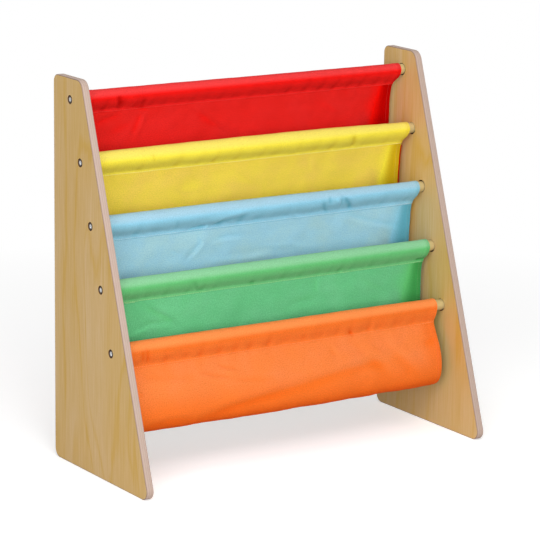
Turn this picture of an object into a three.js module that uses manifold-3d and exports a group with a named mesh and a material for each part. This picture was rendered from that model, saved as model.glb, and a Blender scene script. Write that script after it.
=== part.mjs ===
// A child's sling bookshelf: two raked plywood side panels, five dowels bolted between
// them, and five coloured slings of cloth that hang from the dowels in one sewn row.
// Millimetres. +Z is up, the front faces -Y, and +X is to the right seen from the front.
// The origin is under the middle of the shelf, on the floor.
import * as THREE from 'three';
import { mergeVertices } from 'three/addons/utils/BufferGeometryUtils.js';
import Module from 'manifold-3d';

// Overall sizes
const overallWidth = 624;
const overallDepth = 278;
const overallHeight = 600;

// Side panels: the front edge leans back by this share of its height
const panelThickness = 12;
const frontRakeShare = 1 / 3;
const frontFootRadius = 14;
const backFootRadius = 14;
const frontTopRadius = 17;
const backTopRadius = 12;
const panelEdgeRound = 1.2;

// Rows of dowels, evenly spaced along a line parallel to the front edge: the top one is
// placed from the top of the panels and the lowest one from the floor
const topDowelDrop = 33;
const lowestDowelHeight = 201.8;
const dowelSetback = 44.4;
const dowelDiameter = 17;
const dowelEndChamfer = 0.8;
const socketDepth = 4.5;
const socketClearance = 0.6;

// Bolts, and the threaded inserts in the dowel ends that they screw into
const boltHeadDiameter = 12;
const boltHeadHeight = 2.6;
const boltHeadDome = 0.8;
const boltHeadFlatShare = 0.72;
const boltShankDiameter = 6;
const boltLength = 16;
const boltTipChamfer = 0.7;
const crossSlotWidth = 1.2;
const crossSlotLength = 5.6;
const crossSlotDepth = 1.5;
const counterboreDepth = 3.4;
const counterboreClearance = 0.5;
const insertDiameter = 9;
const insertLength = 12;
const insertInset = 0.5;

// Clearances that separate neighbouring pieces
const seatGap = 0.3;
const threadGap = 0.3;
const clothGap = 0.9;
const layerGap = 0.6;

// Cloth: every sling has a sleeve round its dowel, closed by a seam below it
const clothThickness = 1.4;
const slingEndGap = 11;
const seamDrop = 24;
const wallMidDrop = 46;
const wallLowDrop = 90;
const pocketDrop = 150;
const seamBelow = 5;
const foldFadeDrop = 30;

// Main folds of the hanging cloth: two long waves across the width, in depth
const foldDepth = 1.4;
const longFold = 330;
const shortFold = 147;
const longFoldShare = 0.62;
const tierPhaseShare = 0.29;

// How far the front face of each sling lies behind its dowel's axis at the seam, in the
// middle of its wall and at the next dowel down, and how far the sling has slid sideways
const hangingSlings = [
  { name: 'sling_red', colour: 0xdc1e16, seamBack: 10.8, midBack: 14.6, lowBack: 16.8, slide: 3 },
  { name: 'sling_yellow', colour: 0xe8d04b, seamBack: 8.7, midBack: 13.2, lowBack: 17.5, slide: 0.5 },
  { name: 'sling_blue', colour: 0x83b8ce, seamBack: 7.1, midBack: 9.7, lowBack: 13, slide: 1 },
  { name: 'sling_green', colour: 0x66b77c, seamBack: 4.5, midBack: 6.6, lowBack: 7.5, slide: 0.5 },
];

// The lowest sling is the front of the last pocket. Its outer face runs forward of the
// dowel in a belly, under the pocket and up behind it: forward and up from the dowel axis.
// The belly hangs a little higher at its left end, and its lining is narrower than it.
const bellySling = { name: 'sling_orange', colour: 0xf87d37, slide: -4.5 };
const bellyFront = 31.5;
const bellyBack = 51;
const bellyDrop = 133.5;
const bellySeamForward = 4;
const bellyEndLift = 3.7;
const liningInset = 6.5;
const bellyFrontShares = [
  [0.51, 0.353],
  [0.844, 0.51],
  [1, 0.675],
  [0.966, 0.812],
  [0.69, 0.92],
];
const bellyBackShares = [
  [-0.06, 0.986],
  [0.3, 1],
  [0.66, 0.966],
  [0.89, 0.862],
  [1, 0.715],
  [0.97, 0.56],
];

// How finely round and folded shapes are divided
const cornerSteps = 6;
const edgeSteps = 2;
const dowelSides = 20;
const holeSides = 16;
const sleeveSteps = 9;
const sleeveHoleSteps = 9;
const pocketFoldSteps = 6;
const bellySteps = 15;
const widthSteps = 12;

// Places that follow from the sizes above
const innerFace = overallWidth / 2 - panelThickness;
const outerFace = overallWidth / 2;
const rake = Math.atan(frontRakeShare);
const footOverhang = frontFootRadius * ((1 + Math.sin(rake)) / Math.cos(rake) - 1);
const backEdge = overallDepth / 2;
const frontFoot = -overallDepth / 2 - footOverhang;
const bellyTier = hangingSlings.length;
const tierCount = bellyTier + 1;
const topDowelHeight = overallHeight - topDowelDrop;
const tierDrop = (topDowelHeight - lowestDowelHeight) / bellyTier;
const tierAdvance = tierDrop * frontRakeShare;
const dowelRadius = dowelDiameter / 2;
const sleeveInside = dowelRadius + clothGap;
const sleeveOutside = sleeveInside + clothThickness;
const clothHalf = clothThickness / 2;
const layerPitch = clothThickness + layerGap;
const dowelHalf = innerFace + socketDepth - seatGap;
const socketDiameter = dowelDiameter + 2 * socketClearance;
const boltHoleDiameter = boltShankDiameter + 2 * threadGap;
const counterboreDiameter = boltHeadDiameter + 2 * counterboreClearance;
const insertBoreDiameter = insertDiameter + 2 * threadGap;
const insertBoreDepth = insertInset + insertLength + seatGap;
const headUnderside = outerFace - counterboreDepth + seatGap;
const halfSling = innerFace - slingEndGap;
const mergeStep = 1e-4;
const cutOverrun = 1;
const evenShare = 1 / 2;

const woodMaterial = new THREE.MeshStandardMaterial({ color: 0xbea16e, roughness: 0.55 });
const dowelMaterial = new THREE.MeshStandardMaterial({ color: 0xcdbe91, roughness: 0.6 });
const zincMaterial = new THREE.MeshStandardMaterial({ color: 0xb9bcc0, roughness: 0.35, metalness: 0.9 });
const steelMaterial = new THREE.MeshStandardMaterial({ color: 0x8c8f94, roughness: 0.45, metalness: 0.9 });

const shelf = new THREE.Group();

// Solids for cutting: the geometry's shared corners are merged and slivers are dropped
const wasm = await Module();
wasm.setup();

function toSolid(geometry) {
  const bare = geometry.clone();
  bare.deleteAttribute('normal');
  bare.deleteAttribute('uv');
  const merged = mergeVertices(bare, mergeStep);
  const corners = merged.index.array;
  const kept = [];
  for (let i = 0; i < corners.length; i += 3) {
    const [a, b, c] = [corners[i], corners[i + 1], corners[i + 2]];
    if (a !== b && b !== c && a !== c) kept.push(a, b, c);
  }
  const vertProperties = Float32Array.from(merged.attributes.position.array);
  const triVerts = Uint32Array.from(kept);
  return new wasm.Manifold(new wasm.Mesh({ numProp: 3, vertProperties, triVerts }));
}

function toGeometry(solid) {
  const mesh = solid.getMesh();
  const geometry = new THREE.BufferGeometry();
  const places = new THREE.BufferAttribute(Float32Array.from(mesh.vertProperties), 3);
  geometry.setAttribute('position', places);
  geometry.setIndex(new THREE.BufferAttribute(Uint32Array.from(mesh.triVerts), 1));
  geometry.computeVertexNormals();
  return geometry;
}

function addPiece(name, geometry, material) {
  const mesh = new THREE.Mesh(geometry, material.clone());
  mesh.name = name;
  shelf.add(mesh);
  return mesh;
}

// Where the dowel of a tier lies, in depth and height. Tier 0 is the top one.
function dowelPlace(tier) {
  const height = topDowelHeight - tier * tierDrop;
  const depth = frontFoot + height * frontRakeShare + dowelSetback;
  return { depth, height };
}

// A closed outline with its corners rounded by arcs
function roundedOutline(corners) {
  const points = [];
  corners.forEach((corner, i) => {
    const here = corner.at;
    const before = corners[(i + corners.length - 1) % corners.length].at;
    const after = corners[(i + 1) % corners.length].at;
    const back = before.clone().sub(here).normalize();
    const ahead = after.clone().sub(here).normalize();
    const halfAngle = Math.acos(back.dot(ahead)) / 2;
    const middle = back.clone().add(ahead).normalize();
    const centre = here.clone().addScaledVector(middle, corner.radius / Math.sin(halfAngle));
    const reach = corner.radius / Math.tan(halfAngle);
    const start = here.clone().addScaledVector(back, reach).sub(centre);
    const sweep = Math.PI - 2 * halfAngle;
    for (let step = 0; step <= cornerSteps; step += 1) {
      const turned = start.clone().rotateAround(new THREE.Vector2(), (sweep * step) / cornerSteps);
      points.push(turned.add(centre));
    }
  });
  return points;
}

// The side of the shelf, drawn in depth and height, counter-clockwise
function panelOutline() {
  const frontTop = frontFoot + overallHeight * frontRakeShare;
  return roundedOutline([
    { at: new THREE.Vector2(frontFoot, 0), radius: frontFootRadius },
    { at: new THREE.Vector2(backEdge, 0), radius: backFootRadius },
    { at: new THREE.Vector2(backEdge, overallHeight), radius: backTopRadius },
    { at: new THREE.Vector2(frontTop, overallHeight), radius: frontTopRadius },
  ]);
}

// A round cutter along the width, from one place to another
function widthCutter(diameter, from, to, place, sides) {
  const cutter = new THREE.CylinderGeometry(diameter / 2, diameter / 2, to - from, sides);
  cutter.rotateZ(Math.PI / 2);
  cutter.translate((from + to) / 2, place.depth, place.height);
  return toSolid(cutter);
}

// A side panel, worked on the right-hand side: a blind socket on its inner face takes each
// dowel end, and a counterbore on its outer face takes the bolt head.
function panelGeometry() {
  const slab = new THREE.ExtrudeGeometry(new THREE.Shape(panelOutline()), {
    depth: panelThickness - 2 * panelEdgeRound,
    bevelThickness: panelEdgeRound,
    bevelSize: panelEdgeRound,
    bevelOffset: -panelEdgeRound,
    bevelSegments: edgeSteps,
    steps: 1,
  });
  const depthAxis = new THREE.Vector3(0, 1, 0);
  const heightAxis = new THREE.Vector3(0, 0, 1);
  const widthAxis = new THREE.Vector3(1, 0, 0);
  slab.applyMatrix4(new THREE.Matrix4().makeBasis(depthAxis, heightAxis, widthAxis));
  slab.translate(innerFace + panelEdgeRound, 0, 0);
  let solid = toSolid(slab);
  const socketFloor = innerFace + socketDepth;
  const headSeat = outerFace - counterboreDepth;
  for (let tier = 0; tier < tierCount; tier += 1) {
    const place = dowelPlace(tier);
    const socket = widthCutter(socketDiameter, innerFace - cutOverrun, socketFloor, place, dowelSides);
    const hole = widthCutter(boltHoleDiameter, innerFace, outerFace, place, holeSides);
    const counterbore = widthCutter(
      counterboreDiameter,
      headSeat,
      outerFace + cutOverrun,
      place,
      holeSides,
    );
    solid = solid.subtract(socket).subtract(hole).subtract(counterbore);
  }
  return toGeometry(solid);
}

// A piece for the left-hand side: the right-hand one in a mirror, with its faces turned
function mirroredGeometry(geometry) {
  const mirrored = geometry.clone();
  mirrored.scale(-1, 1, 1);
  const corners = mirrored.index.array;
  for (let i = 0; i < corners.length; i += 3) {
    [corners[i + 1], corners[i + 2]] = [corners[i + 2], corners[i + 1]];
  }
  mirrored.computeVertexNormals();
  return mirrored;
}

// A dowel, turned along its length, with a blind bore for the insert in each end
function dowelGeometry() {
  const bore = insertBoreDiameter / 2;
  const halfProfile = [
    [0, dowelHalf - insertBoreDepth],
    [bore, dowelHalf - insertBoreDepth],
    [bore, dowelHalf],
    [dowelRadius - dowelEndChamfer, dowelHalf],
    [dowelRadius, dowelHalf - dowelEndChamfer],
  ];
  const upper = halfProfile.map(([radius, along]) => new THREE.Vector2(radius, along));
  const lower = halfProfile.map(([radius, along]) => new THREE.Vector2(radius, -along));
  return new THREE.LatheGeometry([...lower, ...upper.reverse()], dowelSides);
}

// A threaded insert, as a plain sleeve with its bore clear of the bolt's shank
function insertGeometry() {
  const bore = boltHoleDiameter / 2;
  const outside = insertDiameter / 2;
  const profile = [
    new THREE.Vector2(bore, 0),
    new THREE.Vector2(outside, 0),
    new THREE.Vector2(outside, insertLength),
    new THREE.Vector2(bore, insertLength),
    new THREE.Vector2(bore, 0),
  ];
  return new THREE.LatheGeometry(profile, holeSides);
}

// A bolt with its tip down and a domed head on top, from the underside of the head
function boltGeometry() {
  const shank = boltShankDiameter / 2;
  const head = boltHeadDiameter / 2;
  const profile = [
    new THREE.Vector2(0, -boltLength),
    new THREE.Vector2(shank - boltTipChamfer, -boltLength),
    new THREE.Vector2(shank, -boltLength + boltTipChamfer),
    new THREE.Vector2(shank, 0),
    new THREE.Vector2(head, 0),
    new THREE.Vector2(head, boltHeadHeight - boltHeadDome),
    new THREE.Vector2(head * boltHeadFlatShare, boltHeadHeight),
    new THREE.Vector2(0, boltHeadHeight),
  ];
  const slotHeight = crossSlotDepth + cutOverrun;
  const slot = new THREE.BoxGeometry(crossSlotLength, slotHeight, crossSlotWidth);
  slot.translate(0, boltHeadHeight - crossSlotDepth + slotHeight / 2, 0);
  const crossSlot = slot.clone().rotateY(Math.PI / 2);
  const blank = toSolid(new THREE.LatheGeometry(profile, holeSides));
  return toGeometry(blank.subtract(toSolid(slot)).subtract(toSolid(crossSlot)));
}

// How far behind the dowel's axis the middle of a hanging sling's cloth lies at a drop
function wallBack(sling, drop) {
  const places = [
    [seamDrop, sling.seamBack],
    [wallMidDrop, sling.midBack],
    [wallLowDrop, sling.lowBack],
  ];
  let back = sling.lowBack;
  for (let i = places.length - 1; i > 0; i -= 1) {
    const [upperDrop, upperBack] = places[i - 1];
    const [lowerDrop, lowerBack] = places[i];
    if (drop < lowerDrop) {
      const share = Math.max(0, (drop - upperDrop) / (lowerDrop - upperDrop));
      back = THREE.MathUtils.lerp(upperBack, lowerBack, share);
    }
  }
  return back + clothHalf;
}

// The folds grow from nothing at the seam to their full depth below it
function foldGrowth(drop) {
  return THREE.MathUtils.smoothstep(drop, seamDrop, seamDrop + foldFadeDrop);
}

// Depth of the folds of a tier at a place across the width
function foldAt(tier, across) {
  const turn = 2 * Math.PI;
  const phase = turn * tierPhaseShare * tier;
  const long = Math.sin((turn * across) / longFold + phase);
  const short = Math.sin((turn * across) / shortFold - 2 * phase);
  return foldDepth * (longFoldShare * long + (1 - longFoldShare) * short);
}

// How much higher the cloth of a tier hangs at a place across the width
function liftAt(tier, across) {
  if (tier !== bellyTier) return 0;
  const share = Math.max(0, -across / halfSling);
  return bellyEndLift * share * share;
}

// A cloth's middle line is a list of nodes: a place forward and up of the sling's own dowel,
// the shares of its own tier's folds and the next tier's that the place takes, and how far
// the cloth's ends are drawn in there.
function node(forward, up, own, next, inset = 0) {
  return { at: new THREE.Vector2(forward, up), own, next, inset };
}

// Drops at which the walls of neighbouring slings both have a node, so they stay parallel
const riseTopDrop = seamDrop + seamBelow;
const sharedDrops = [riseTopDrop, wallMidDrop, (wallMidDrop + wallLowDrop) / 2, wallLowDrop];
const wallFootDrop = (wallLowDrop + pocketDrop) / 2;

// The middle line of the belly sling, from its seam round to its hem behind the pocket: a
// smooth curve through the places that the shares give
function bellyLine() {
  const frontReach = bellyFront - clothHalf;
  const backReach = bellyBack - clothHalf;
  const lowest = bellyDrop - clothHalf;
  const places = [new THREE.Vector2(bellySeamForward - clothHalf, -seamDrop)];
  for (const [reachShare, dropShare] of bellyFrontShares) {
    places.push(new THREE.Vector2(frontReach * reachShare, -lowest * dropShare));
  }
  for (const [reachShare, dropShare] of bellyBackShares) {
    places.push(new THREE.Vector2(-backReach * reachShare, -lowest * dropShare));
  }
  const [seam, next, ...others] = new THREE.SplineCurve(places).getSpacedPoints(bellySteps);
  const belowSeam = next.clone().sub(seam).setLength(seamBelow).add(seam);
  const path = [seam, belowSeam, next, ...others];
  return path.map((at) => node(at.x, at.y, foldGrowth(-at.y), 0));
}

// The direction from one node to the next, turned a quarter to the right
function rightOf(from, to) {
  const along = to.at.clone().sub(from.at).normalize();
  return new THREE.Vector2(along.y, -along.x);
}

// The same line moved to its right by a distance. Its corners are mitred, so that each
// stretch stays parallel to the one it was moved from.
function movedLine(nodes, distance) {
  const last = nodes.length - 1;
  return nodes.map((item, i) => {
    const before = rightOf(nodes[Math.max(0, i - 1)], nodes[Math.max(1, i)]);
    const after = rightOf(nodes[Math.min(last - 1, i)], nodes[Math.min(last, i + 1)]);
    const middle = before.clone().add(after).normalize();
    const at = item.at.clone().addScaledVector(middle, distance / middle.dot(before));
    return { ...item, at };
  });
}

// The wall of a hanging sling from its seam to the foot of the pocket in front of it
function wallLine(sling) {
  const nodes = [node(-wallBack(sling, seamDrop), -seamDrop, 0, 0)];
  for (const drop of [...sharedDrops, wallFootDrop, pocketDrop]) {
    nodes.push(node(-wallBack(sling, drop), -drop, foldGrowth(drop), 0));
  }
  return nodes;
}

// The front of a pocket whose next sling hangs straight: up behind that sling's wall
function straightRise(nextSling, radius) {
  const footDrop = pocketDrop - radius;
  const drops = [footDrop, wallFootDrop, ...[...sharedDrops].reverse()];
  return drops.map((drop) => {
    const back = wallBack(nextSling, drop) + layerPitch;
    return node(tierAdvance - back, -tierDrop - drop, 0, foldGrowth(drop));
  });
}

// The middle line of a hanging sling: down its wall, round the fold and up to the next seam
function hangingLine(tier) {
  const sling = hangingSlings[tier];
  const nextSling = hangingSlings[tier + 1];
  const down = wallLine(sling);
  if (!nextSling) return [...down, ...bellyLining()];
  const backPlace = -wallBack(sling, pocketDrop);
  const risePlace = tierAdvance - wallBack(nextSling, pocketDrop) - layerPitch;
  const radius = (risePlace - backPlace) / 2;
  const footUp = -tierDrop - pocketDrop + radius;
  const centre = new THREE.Vector2(backPlace + radius, footUp);
  const midUp = (footUp - pocketDrop) / 2;
  const nodes = [...down, node(backPlace, midUp, evenShare, evenShare)];
  for (let step = 0; step < pocketFoldSteps; step += 1) {
    const angle = (Math.PI * step) / pocketFoldSteps;
    const forward = centre.x - radius * Math.cos(angle);
    nodes.push(node(forward, centre.y - radius * Math.sin(angle), 0, 1));
  }
  return [...nodes, ...straightRise(nextSling, radius)];
}

// The last hanging sling lines the belly: the belly sling's line one layer further in,
// walked from behind the pocket to the front, and up to just below its seam
function bellyLining() {
  const inside = movedLine(bellyLine(), layerPitch);
  const lining = inside.slice(1).reverse();
  return lining.map(({ at, own }) => {
    return node(at.x + tierAdvance, at.y - tierDrop, 0, own, liningInset);
  });
}

// Places on a circle round the dowel, from one angle to another, taking no folds
function sleeveArc(radius, from, to, steps) {
  const nodes = [];
  for (let step = 0; step <= steps; step += 1) {
    const angle = THREE.MathUtils.lerp(from, to, step / steps);
    nodes.push(node(radius * Math.cos(angle), radius * Math.sin(angle), 0, 0));
  }
  return nodes;
}

// The closed section of a sling: the cloth's two faces along its middle line, and the
// outside of its sleeve. The hole is the inside of the sleeve, a drop that narrows at the seam.
function slingSection(line) {
  const inner = movedLine(line, -clothHalf);
  const outer = movedLine(line, clothHalf);
  const seam = line[0].at;
  const towardsSeam = Math.atan2(seam.y, seam.x);
  const reach = seam.length();
  const outerSpread = Math.acos(sleeveOutside / reach);
  const around = 2 * Math.PI;
  const outline = [
    ...inner,
    ...outer.slice(1).reverse(),
    node(seam.x - layerPitch, seam.y, 0, 0),
    ...sleeveArc(
      sleeveOutside,
      towardsSeam + around - outerSpread,
      towardsSeam + outerSpread,
      sleeveSteps,
    ),
  ];
  const innerReach = reach - clothThickness;
  const tip = seam.clone().setLength(innerReach);
  const innerSpread = Math.acos(sleeveInside / innerReach);
  const hole = [
    node(tip.x - clothHalf, tip.y, 0, 0),
    ...sleeveArc(
      sleeveInside,
      towardsSeam + around - innerSpread,
      towardsSeam + innerSpread,
      sleeveHoleSteps,
    ),
  ];
  return { outline, hole };
}

// A ring of nodes turned the wanted way round, seen from the right-hand side
function orientedRing(ring, tier, clockwise) {
  const place = dowelPlace(tier);
  const section = ring.map((item) => {
    const at = new THREE.Vector2(place.depth - item.at.x, place.height + item.at.y);
    return { ...item, at };
  });
  const isClockwise = THREE.ShapeUtils.isClockWise(section.map((item) => item.at));
  return isClockwise === clockwise ? section : section.reverse();
}

// A sling: its section carried across the width, with the folds added to its depth and the
// lift to its height
function slingGeometry(line, tier, slide) {
  const { outline, hole } = slingSection(line);
  const rings = [orientedRing(outline, tier, false), orientedRing(hole, tier, true)];
  const sectionNodes = rings.flat();
  const count = sectionNodes.length;
  const positions = [];
  for (let step = 0; step <= widthSteps; step += 1) {
    const side = THREE.MathUtils.lerp(-1, 1, step / widthSteps);
    for (const item of sectionNodes) {
      const across = slide + side * (halfSling - item.inset);
      const fold = item.own * foldAt(tier, across) + item.next * foldAt(tier + 1, across);
      const lift = item.own * liftAt(tier, across) + item.next * liftAt(tier + 1, across);
      positions.push(across, item.at.x - fold, item.at.y + lift);
    }
  }
  const triangles = [];
  let first = 0;
  for (const ring of rings) {
    for (let i = 0; i < ring.length; i += 1) {
      const a = first + i;
      const b = first + ((i + 1) % ring.length);
      for (let step = 0; step < widthSteps; step += 1) {
        const here = step * count;
        const beyond = here + count;
        triangles.push(a + here, b + here, b + beyond);
        triangles.push(a + here, b + beyond, a + beyond);
      }
    }
    first += ring.length;
  }
  const flat = rings.map((ring) => ring.map((item) => item.at));
  const lastStation = widthSteps * count;
  for (const [a, b, c] of THREE.ShapeUtils.triangulateShape(flat[0], [flat[1]])) {
    triangles.push(a, c, b);
    triangles.push(a + lastStation, b + lastStation, c + lastStation);
  }
  const geometry = new THREE.BufferGeometry();
  geometry.setAttribute('position', new THREE.Float32BufferAttribute(positions, 3));
  geometry.setIndex(triangles);
  geometry.computeVertexNormals();
  return geometry;
}

function clothMaterial(colour) {
  return new THREE.MeshStandardMaterial({ color: colour, roughness: 0.85 });
}

// Panels
const rightPanel = panelGeometry();
addPiece('right_panel', rightPanel, woodMaterial);
addPiece('left_panel', mirroredGeometry(rightPanel), woodMaterial);

// Dowels, inserts and bolts, tier by tier from the top
const sides = [
  { name: 'left', sign: -1 },
  { name: 'right', sign: 1 },
];
for (let tier = 0; tier < tierCount; tier += 1) {
  const place = dowelPlace(tier);
  const number = tier + 1;
  const dowel = addPiece(`dowel_${number}`, dowelGeometry(), dowelMaterial);
  dowel.rotation.z = -Math.PI / 2;
  dowel.position.set(0, place.depth, place.height);
  for (const side of sides) {
    const outward = (-side.sign * Math.PI) / 2;
    const insert = addPiece(`insert_${side.name}_${number}`, insertGeometry(), steelMaterial);
    const insertFoot = dowelHalf - insertInset - insertLength;
    insert.rotation.z = outward;
    insert.position.set(side.sign * insertFoot, place.depth, place.height);
    const bolt = addPiece(`bolt_${side.name}_${number}`, boltGeometry(), zincMaterial);
    bolt.rotation.z = outward;
    bolt.position.set(side.sign * headUnderside, place.depth, place.height);
  }
}

// Slings, from the top one down
hangingSlings.forEach((sling, tier) => {
  const geometry = slingGeometry(hangingLine(tier), tier, sling.slide);
  addPiece(sling.name, geometry, clothMaterial(sling.colour));
});
const bellyGeometry = slingGeometry(bellyLine(), bellyTier, bellySling.slide);
addPiece(bellySling.name, bellyGeometry, clothMaterial(bellySling.colour));

export default shelf;
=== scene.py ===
"""A child's sling bookshelf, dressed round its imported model.

Metres. +Z is up, the front faces -Y and +X is to the right seen from the front. Two plywood
panels carry five dowels, and five slings of cloth hang from the dowels in one sewn row. A place
on a sling is given by how far across it is and by its drop, its depth below the dowel's axis.
"""

import logging
import math
from dataclasses import dataclass
from enum import Enum
from functools import partial

import bmesh
import bpy
import numpy as np
from mathutils import Matrix, Vector
from mathutils.geometry import tessellate_polygon


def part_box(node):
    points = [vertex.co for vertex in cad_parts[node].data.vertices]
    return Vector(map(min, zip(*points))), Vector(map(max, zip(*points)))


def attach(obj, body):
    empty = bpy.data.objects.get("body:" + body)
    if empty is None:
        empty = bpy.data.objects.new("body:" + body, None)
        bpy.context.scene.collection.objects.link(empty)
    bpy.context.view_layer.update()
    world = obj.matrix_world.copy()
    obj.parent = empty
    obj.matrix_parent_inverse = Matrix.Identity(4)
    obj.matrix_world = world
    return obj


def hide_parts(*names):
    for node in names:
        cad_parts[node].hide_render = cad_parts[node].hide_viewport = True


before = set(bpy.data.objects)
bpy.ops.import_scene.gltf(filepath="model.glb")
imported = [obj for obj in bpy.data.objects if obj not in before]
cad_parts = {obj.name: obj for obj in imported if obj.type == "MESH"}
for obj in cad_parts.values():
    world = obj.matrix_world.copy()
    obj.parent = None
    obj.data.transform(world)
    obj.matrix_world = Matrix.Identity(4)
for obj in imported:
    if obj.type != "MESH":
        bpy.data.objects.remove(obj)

log = logging.getLogger("sling_bookshelf")
BODY = "root"
MM = 0.001
TURN = 2 * math.pi
WELD = 1e-6
WHITE = (1.0, 1.0, 1.0, 1.0)

# Names of the cloths' map and of the numbers on the pieces' points
FLAT_MAP, LAYERS_AND_SHADE, PAINTED_HIGHLIGHT, PAINTED_SHADE_FADE = "flat", "layers", "crown", "polish"

# Rows of points on a sling before the seam behind its sleeve
SLEEVE_ROWS = 80


# Colours, curves and meshes

def linear(red: float, green: float, blue: float) -> tuple[float, float, float, float]:
    """A colour for a shader from its display values, 0 to 255."""
    shares = np.array([red, green, blue]) / 255
    low = shares / 12.92
    high = ((shares + 0.055) / 1.055) ** 2.4
    return (*np.where(shares <= 0.04045, low, high).tolist(), 1.0)


def smooth_step(value: np.ndarray | float, low: float, high: float) -> np.ndarray:
    """0 below low, 1 above high, and t*t*(3 - 2t) of the share t in between."""
    share = np.clip((np.asarray(value, float) - low) / (high - low), 0, 1)
    return share * share * (3 - 2 * share)


def smooth_curve(nodes: np.ndarray, steps: int = 24) -> np.ndarray:
    """A curve through nodes, each of them a row of numbers.

    Between two nodes the curve is the cubic that leaves and arrives with half the difference
    of the neighbours on either side, which is a Catmull-Rom spline.

    Args:
        nodes: The places that the curve passes, one row each.
        steps: How many points each stretch gets.

    Returns:
        The points of the curve, one row each, with the same columns as nodes.
    """
    padded = np.concatenate([nodes[:1], nodes, nodes[-1:]])
    a, b, c, d = padded[:-3], padded[1:-2], padded[2:-1], padded[3:]
    t = (np.arange(steps) / steps)[None, :, None]
    leave, arrive = ((c - a) / 2)[:, None], ((d - b) / 2)[:, None]
    b, c = b[:, None], c[:, None]
    blend = (2 * t**3 - 3 * t**2 + 1) * b + (t**3 - 2 * t**2 + t) * leave
    blend = blend + (-2 * t**3 + 3 * t**2) * c + (t**3 - t**2) * arrive
    return np.concatenate([blend.reshape(-1, nodes.shape[1]), nodes[-1:]])


def arc_lengths(points: np.ndarray) -> np.ndarray:
    """The length walked along a line of points up to each of them."""
    steps = np.linalg.norm(np.diff(points, axis=0), axis=1)
    return np.concatenate([[0.0], np.cumsum(steps)])


def along_curve(points: np.ndarray, lengths: np.ndarray, wanted: np.ndarray) -> np.ndarray:
    """The rows of points, drawn out to the wanted lengths along them."""
    columns = [np.interp(wanted, lengths, points[:, i]) for i in range(points.shape[1])]
    return np.stack(columns, axis=1)


def unit(vectors: np.ndarray) -> np.ndarray:
    """The vectors along the last axis, each made one long."""
    return vectors / np.linalg.norm(vectors, axis=-1, keepdims=True)


def angles_around(steps: int) -> np.ndarray:
    """A row of even angles once round, in radians."""
    return np.linspace(0, TURN, steps, endpoint=False)[None, :]


def grid_quads(rows: int, columns: int, around: bool = False, first: int = 0) -> np.ndarray:
    """The corners of a grid's four-sided faces.

    Args:
        rows: Rows of points.
        columns: Points in a row.
        around: Whether the last column joins the first.
        first: Index of the grid's first point.

    Returns:
        One row of four indices for each face. Its front is the side of row step x column step.
    """
    here = np.arange(columns if around else columns - 1)
    beyond = (here + 1) % columns
    start = (first + columns * np.arange(rows - 1))[:, None]
    corners = [start + here, start + columns + here, start + columns + beyond, start + beyond]
    return np.stack(corners, axis=-1).reshape(-1, 4)


def make_piece(name: str, points: np.ndarray, faces: list[np.ndarray]) -> bpy.types.Object:
    """A mesh object at the origin from arrays.

    Args:
        name: The object's name.
        points: Places in metres, one row each.
        faces: Arrays of corner indices, one row a face, all rows of an array alike in length.

    Returns:
        The object, smooth shaded and linked to the scene.
    """
    mesh = bpy.data.meshes.new(name)
    corners = np.concatenate([group.ravel() for group in faces]).astype(np.int32)
    totals = np.concatenate([np.full(len(group), group.shape[1]) for group in faces])
    starts = (np.cumsum(totals) - totals).astype(np.int32)
    mesh.vertices.add(len(points))
    mesh.vertices.foreach_set("co", np.ascontiguousarray(points, np.float32).ravel())
    mesh.loops.add(len(corners))
    mesh.loops.foreach_set("vertex_index", corners)
    mesh.polygons.add(len(totals))
    mesh.polygons.foreach_set("loop_start", starts)
    mesh.polygons.foreach_set("use_smooth", np.full(len(totals), True))
    mesh.update(calc_edges=True)
    piece = bpy.data.objects.new(name, mesh)
    bpy.context.scene.collection.objects.link(piece)
    return piece


def mark_points(piece: bpy.types.Object, name: str, values: np.ndarray) -> None:
    """Writes a named number on each point of a piece, for its material to read."""
    mark = piece.data.attributes.new(name, "FLOAT", "POINT")
    mark.data.foreach_set("value", values.ravel().astype(np.float32))


def weld(piece: bpy.types.Object) -> None:
    """Merges a piece's doubled points, then turns all its faces outwards."""
    work = bmesh.new()
    work.from_mesh(piece.data)
    bmesh.ops.remove_doubles(work, verts=work.verts, dist=WELD)
    bmesh.ops.dissolve_degenerate(work, edges=work.edges, dist=WELD)
    bmesh.ops.recalc_face_normals(work, faces=work.faces)
    work.to_mesh(piece.data)
    work.free()


def dress(
    piece: bpy.types.Object, slot: str, *materials: bpy.types.Material, node: str = "", sharp: float = 180
) -> None:
    """Gives a piece its materials and lets it ride on the shelf's body.

    Args:
        piece: The piece.
        slot: The record's material slot. Not used.
        materials: Its materials, in the order of their numbers on the faces.
        node: The solid that it stands for, if any.
        sharp: The angle in degrees from which an edge is shaded as a sharp one.
    """
    if sharp < 180:
        piece.data.set_sharp_from_angle(angle=math.radians(sharp))
    for material in materials:
        piece.data.materials.append(material)
    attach(piece, BODY)
    if node:
        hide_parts(node)


# Materials

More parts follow.
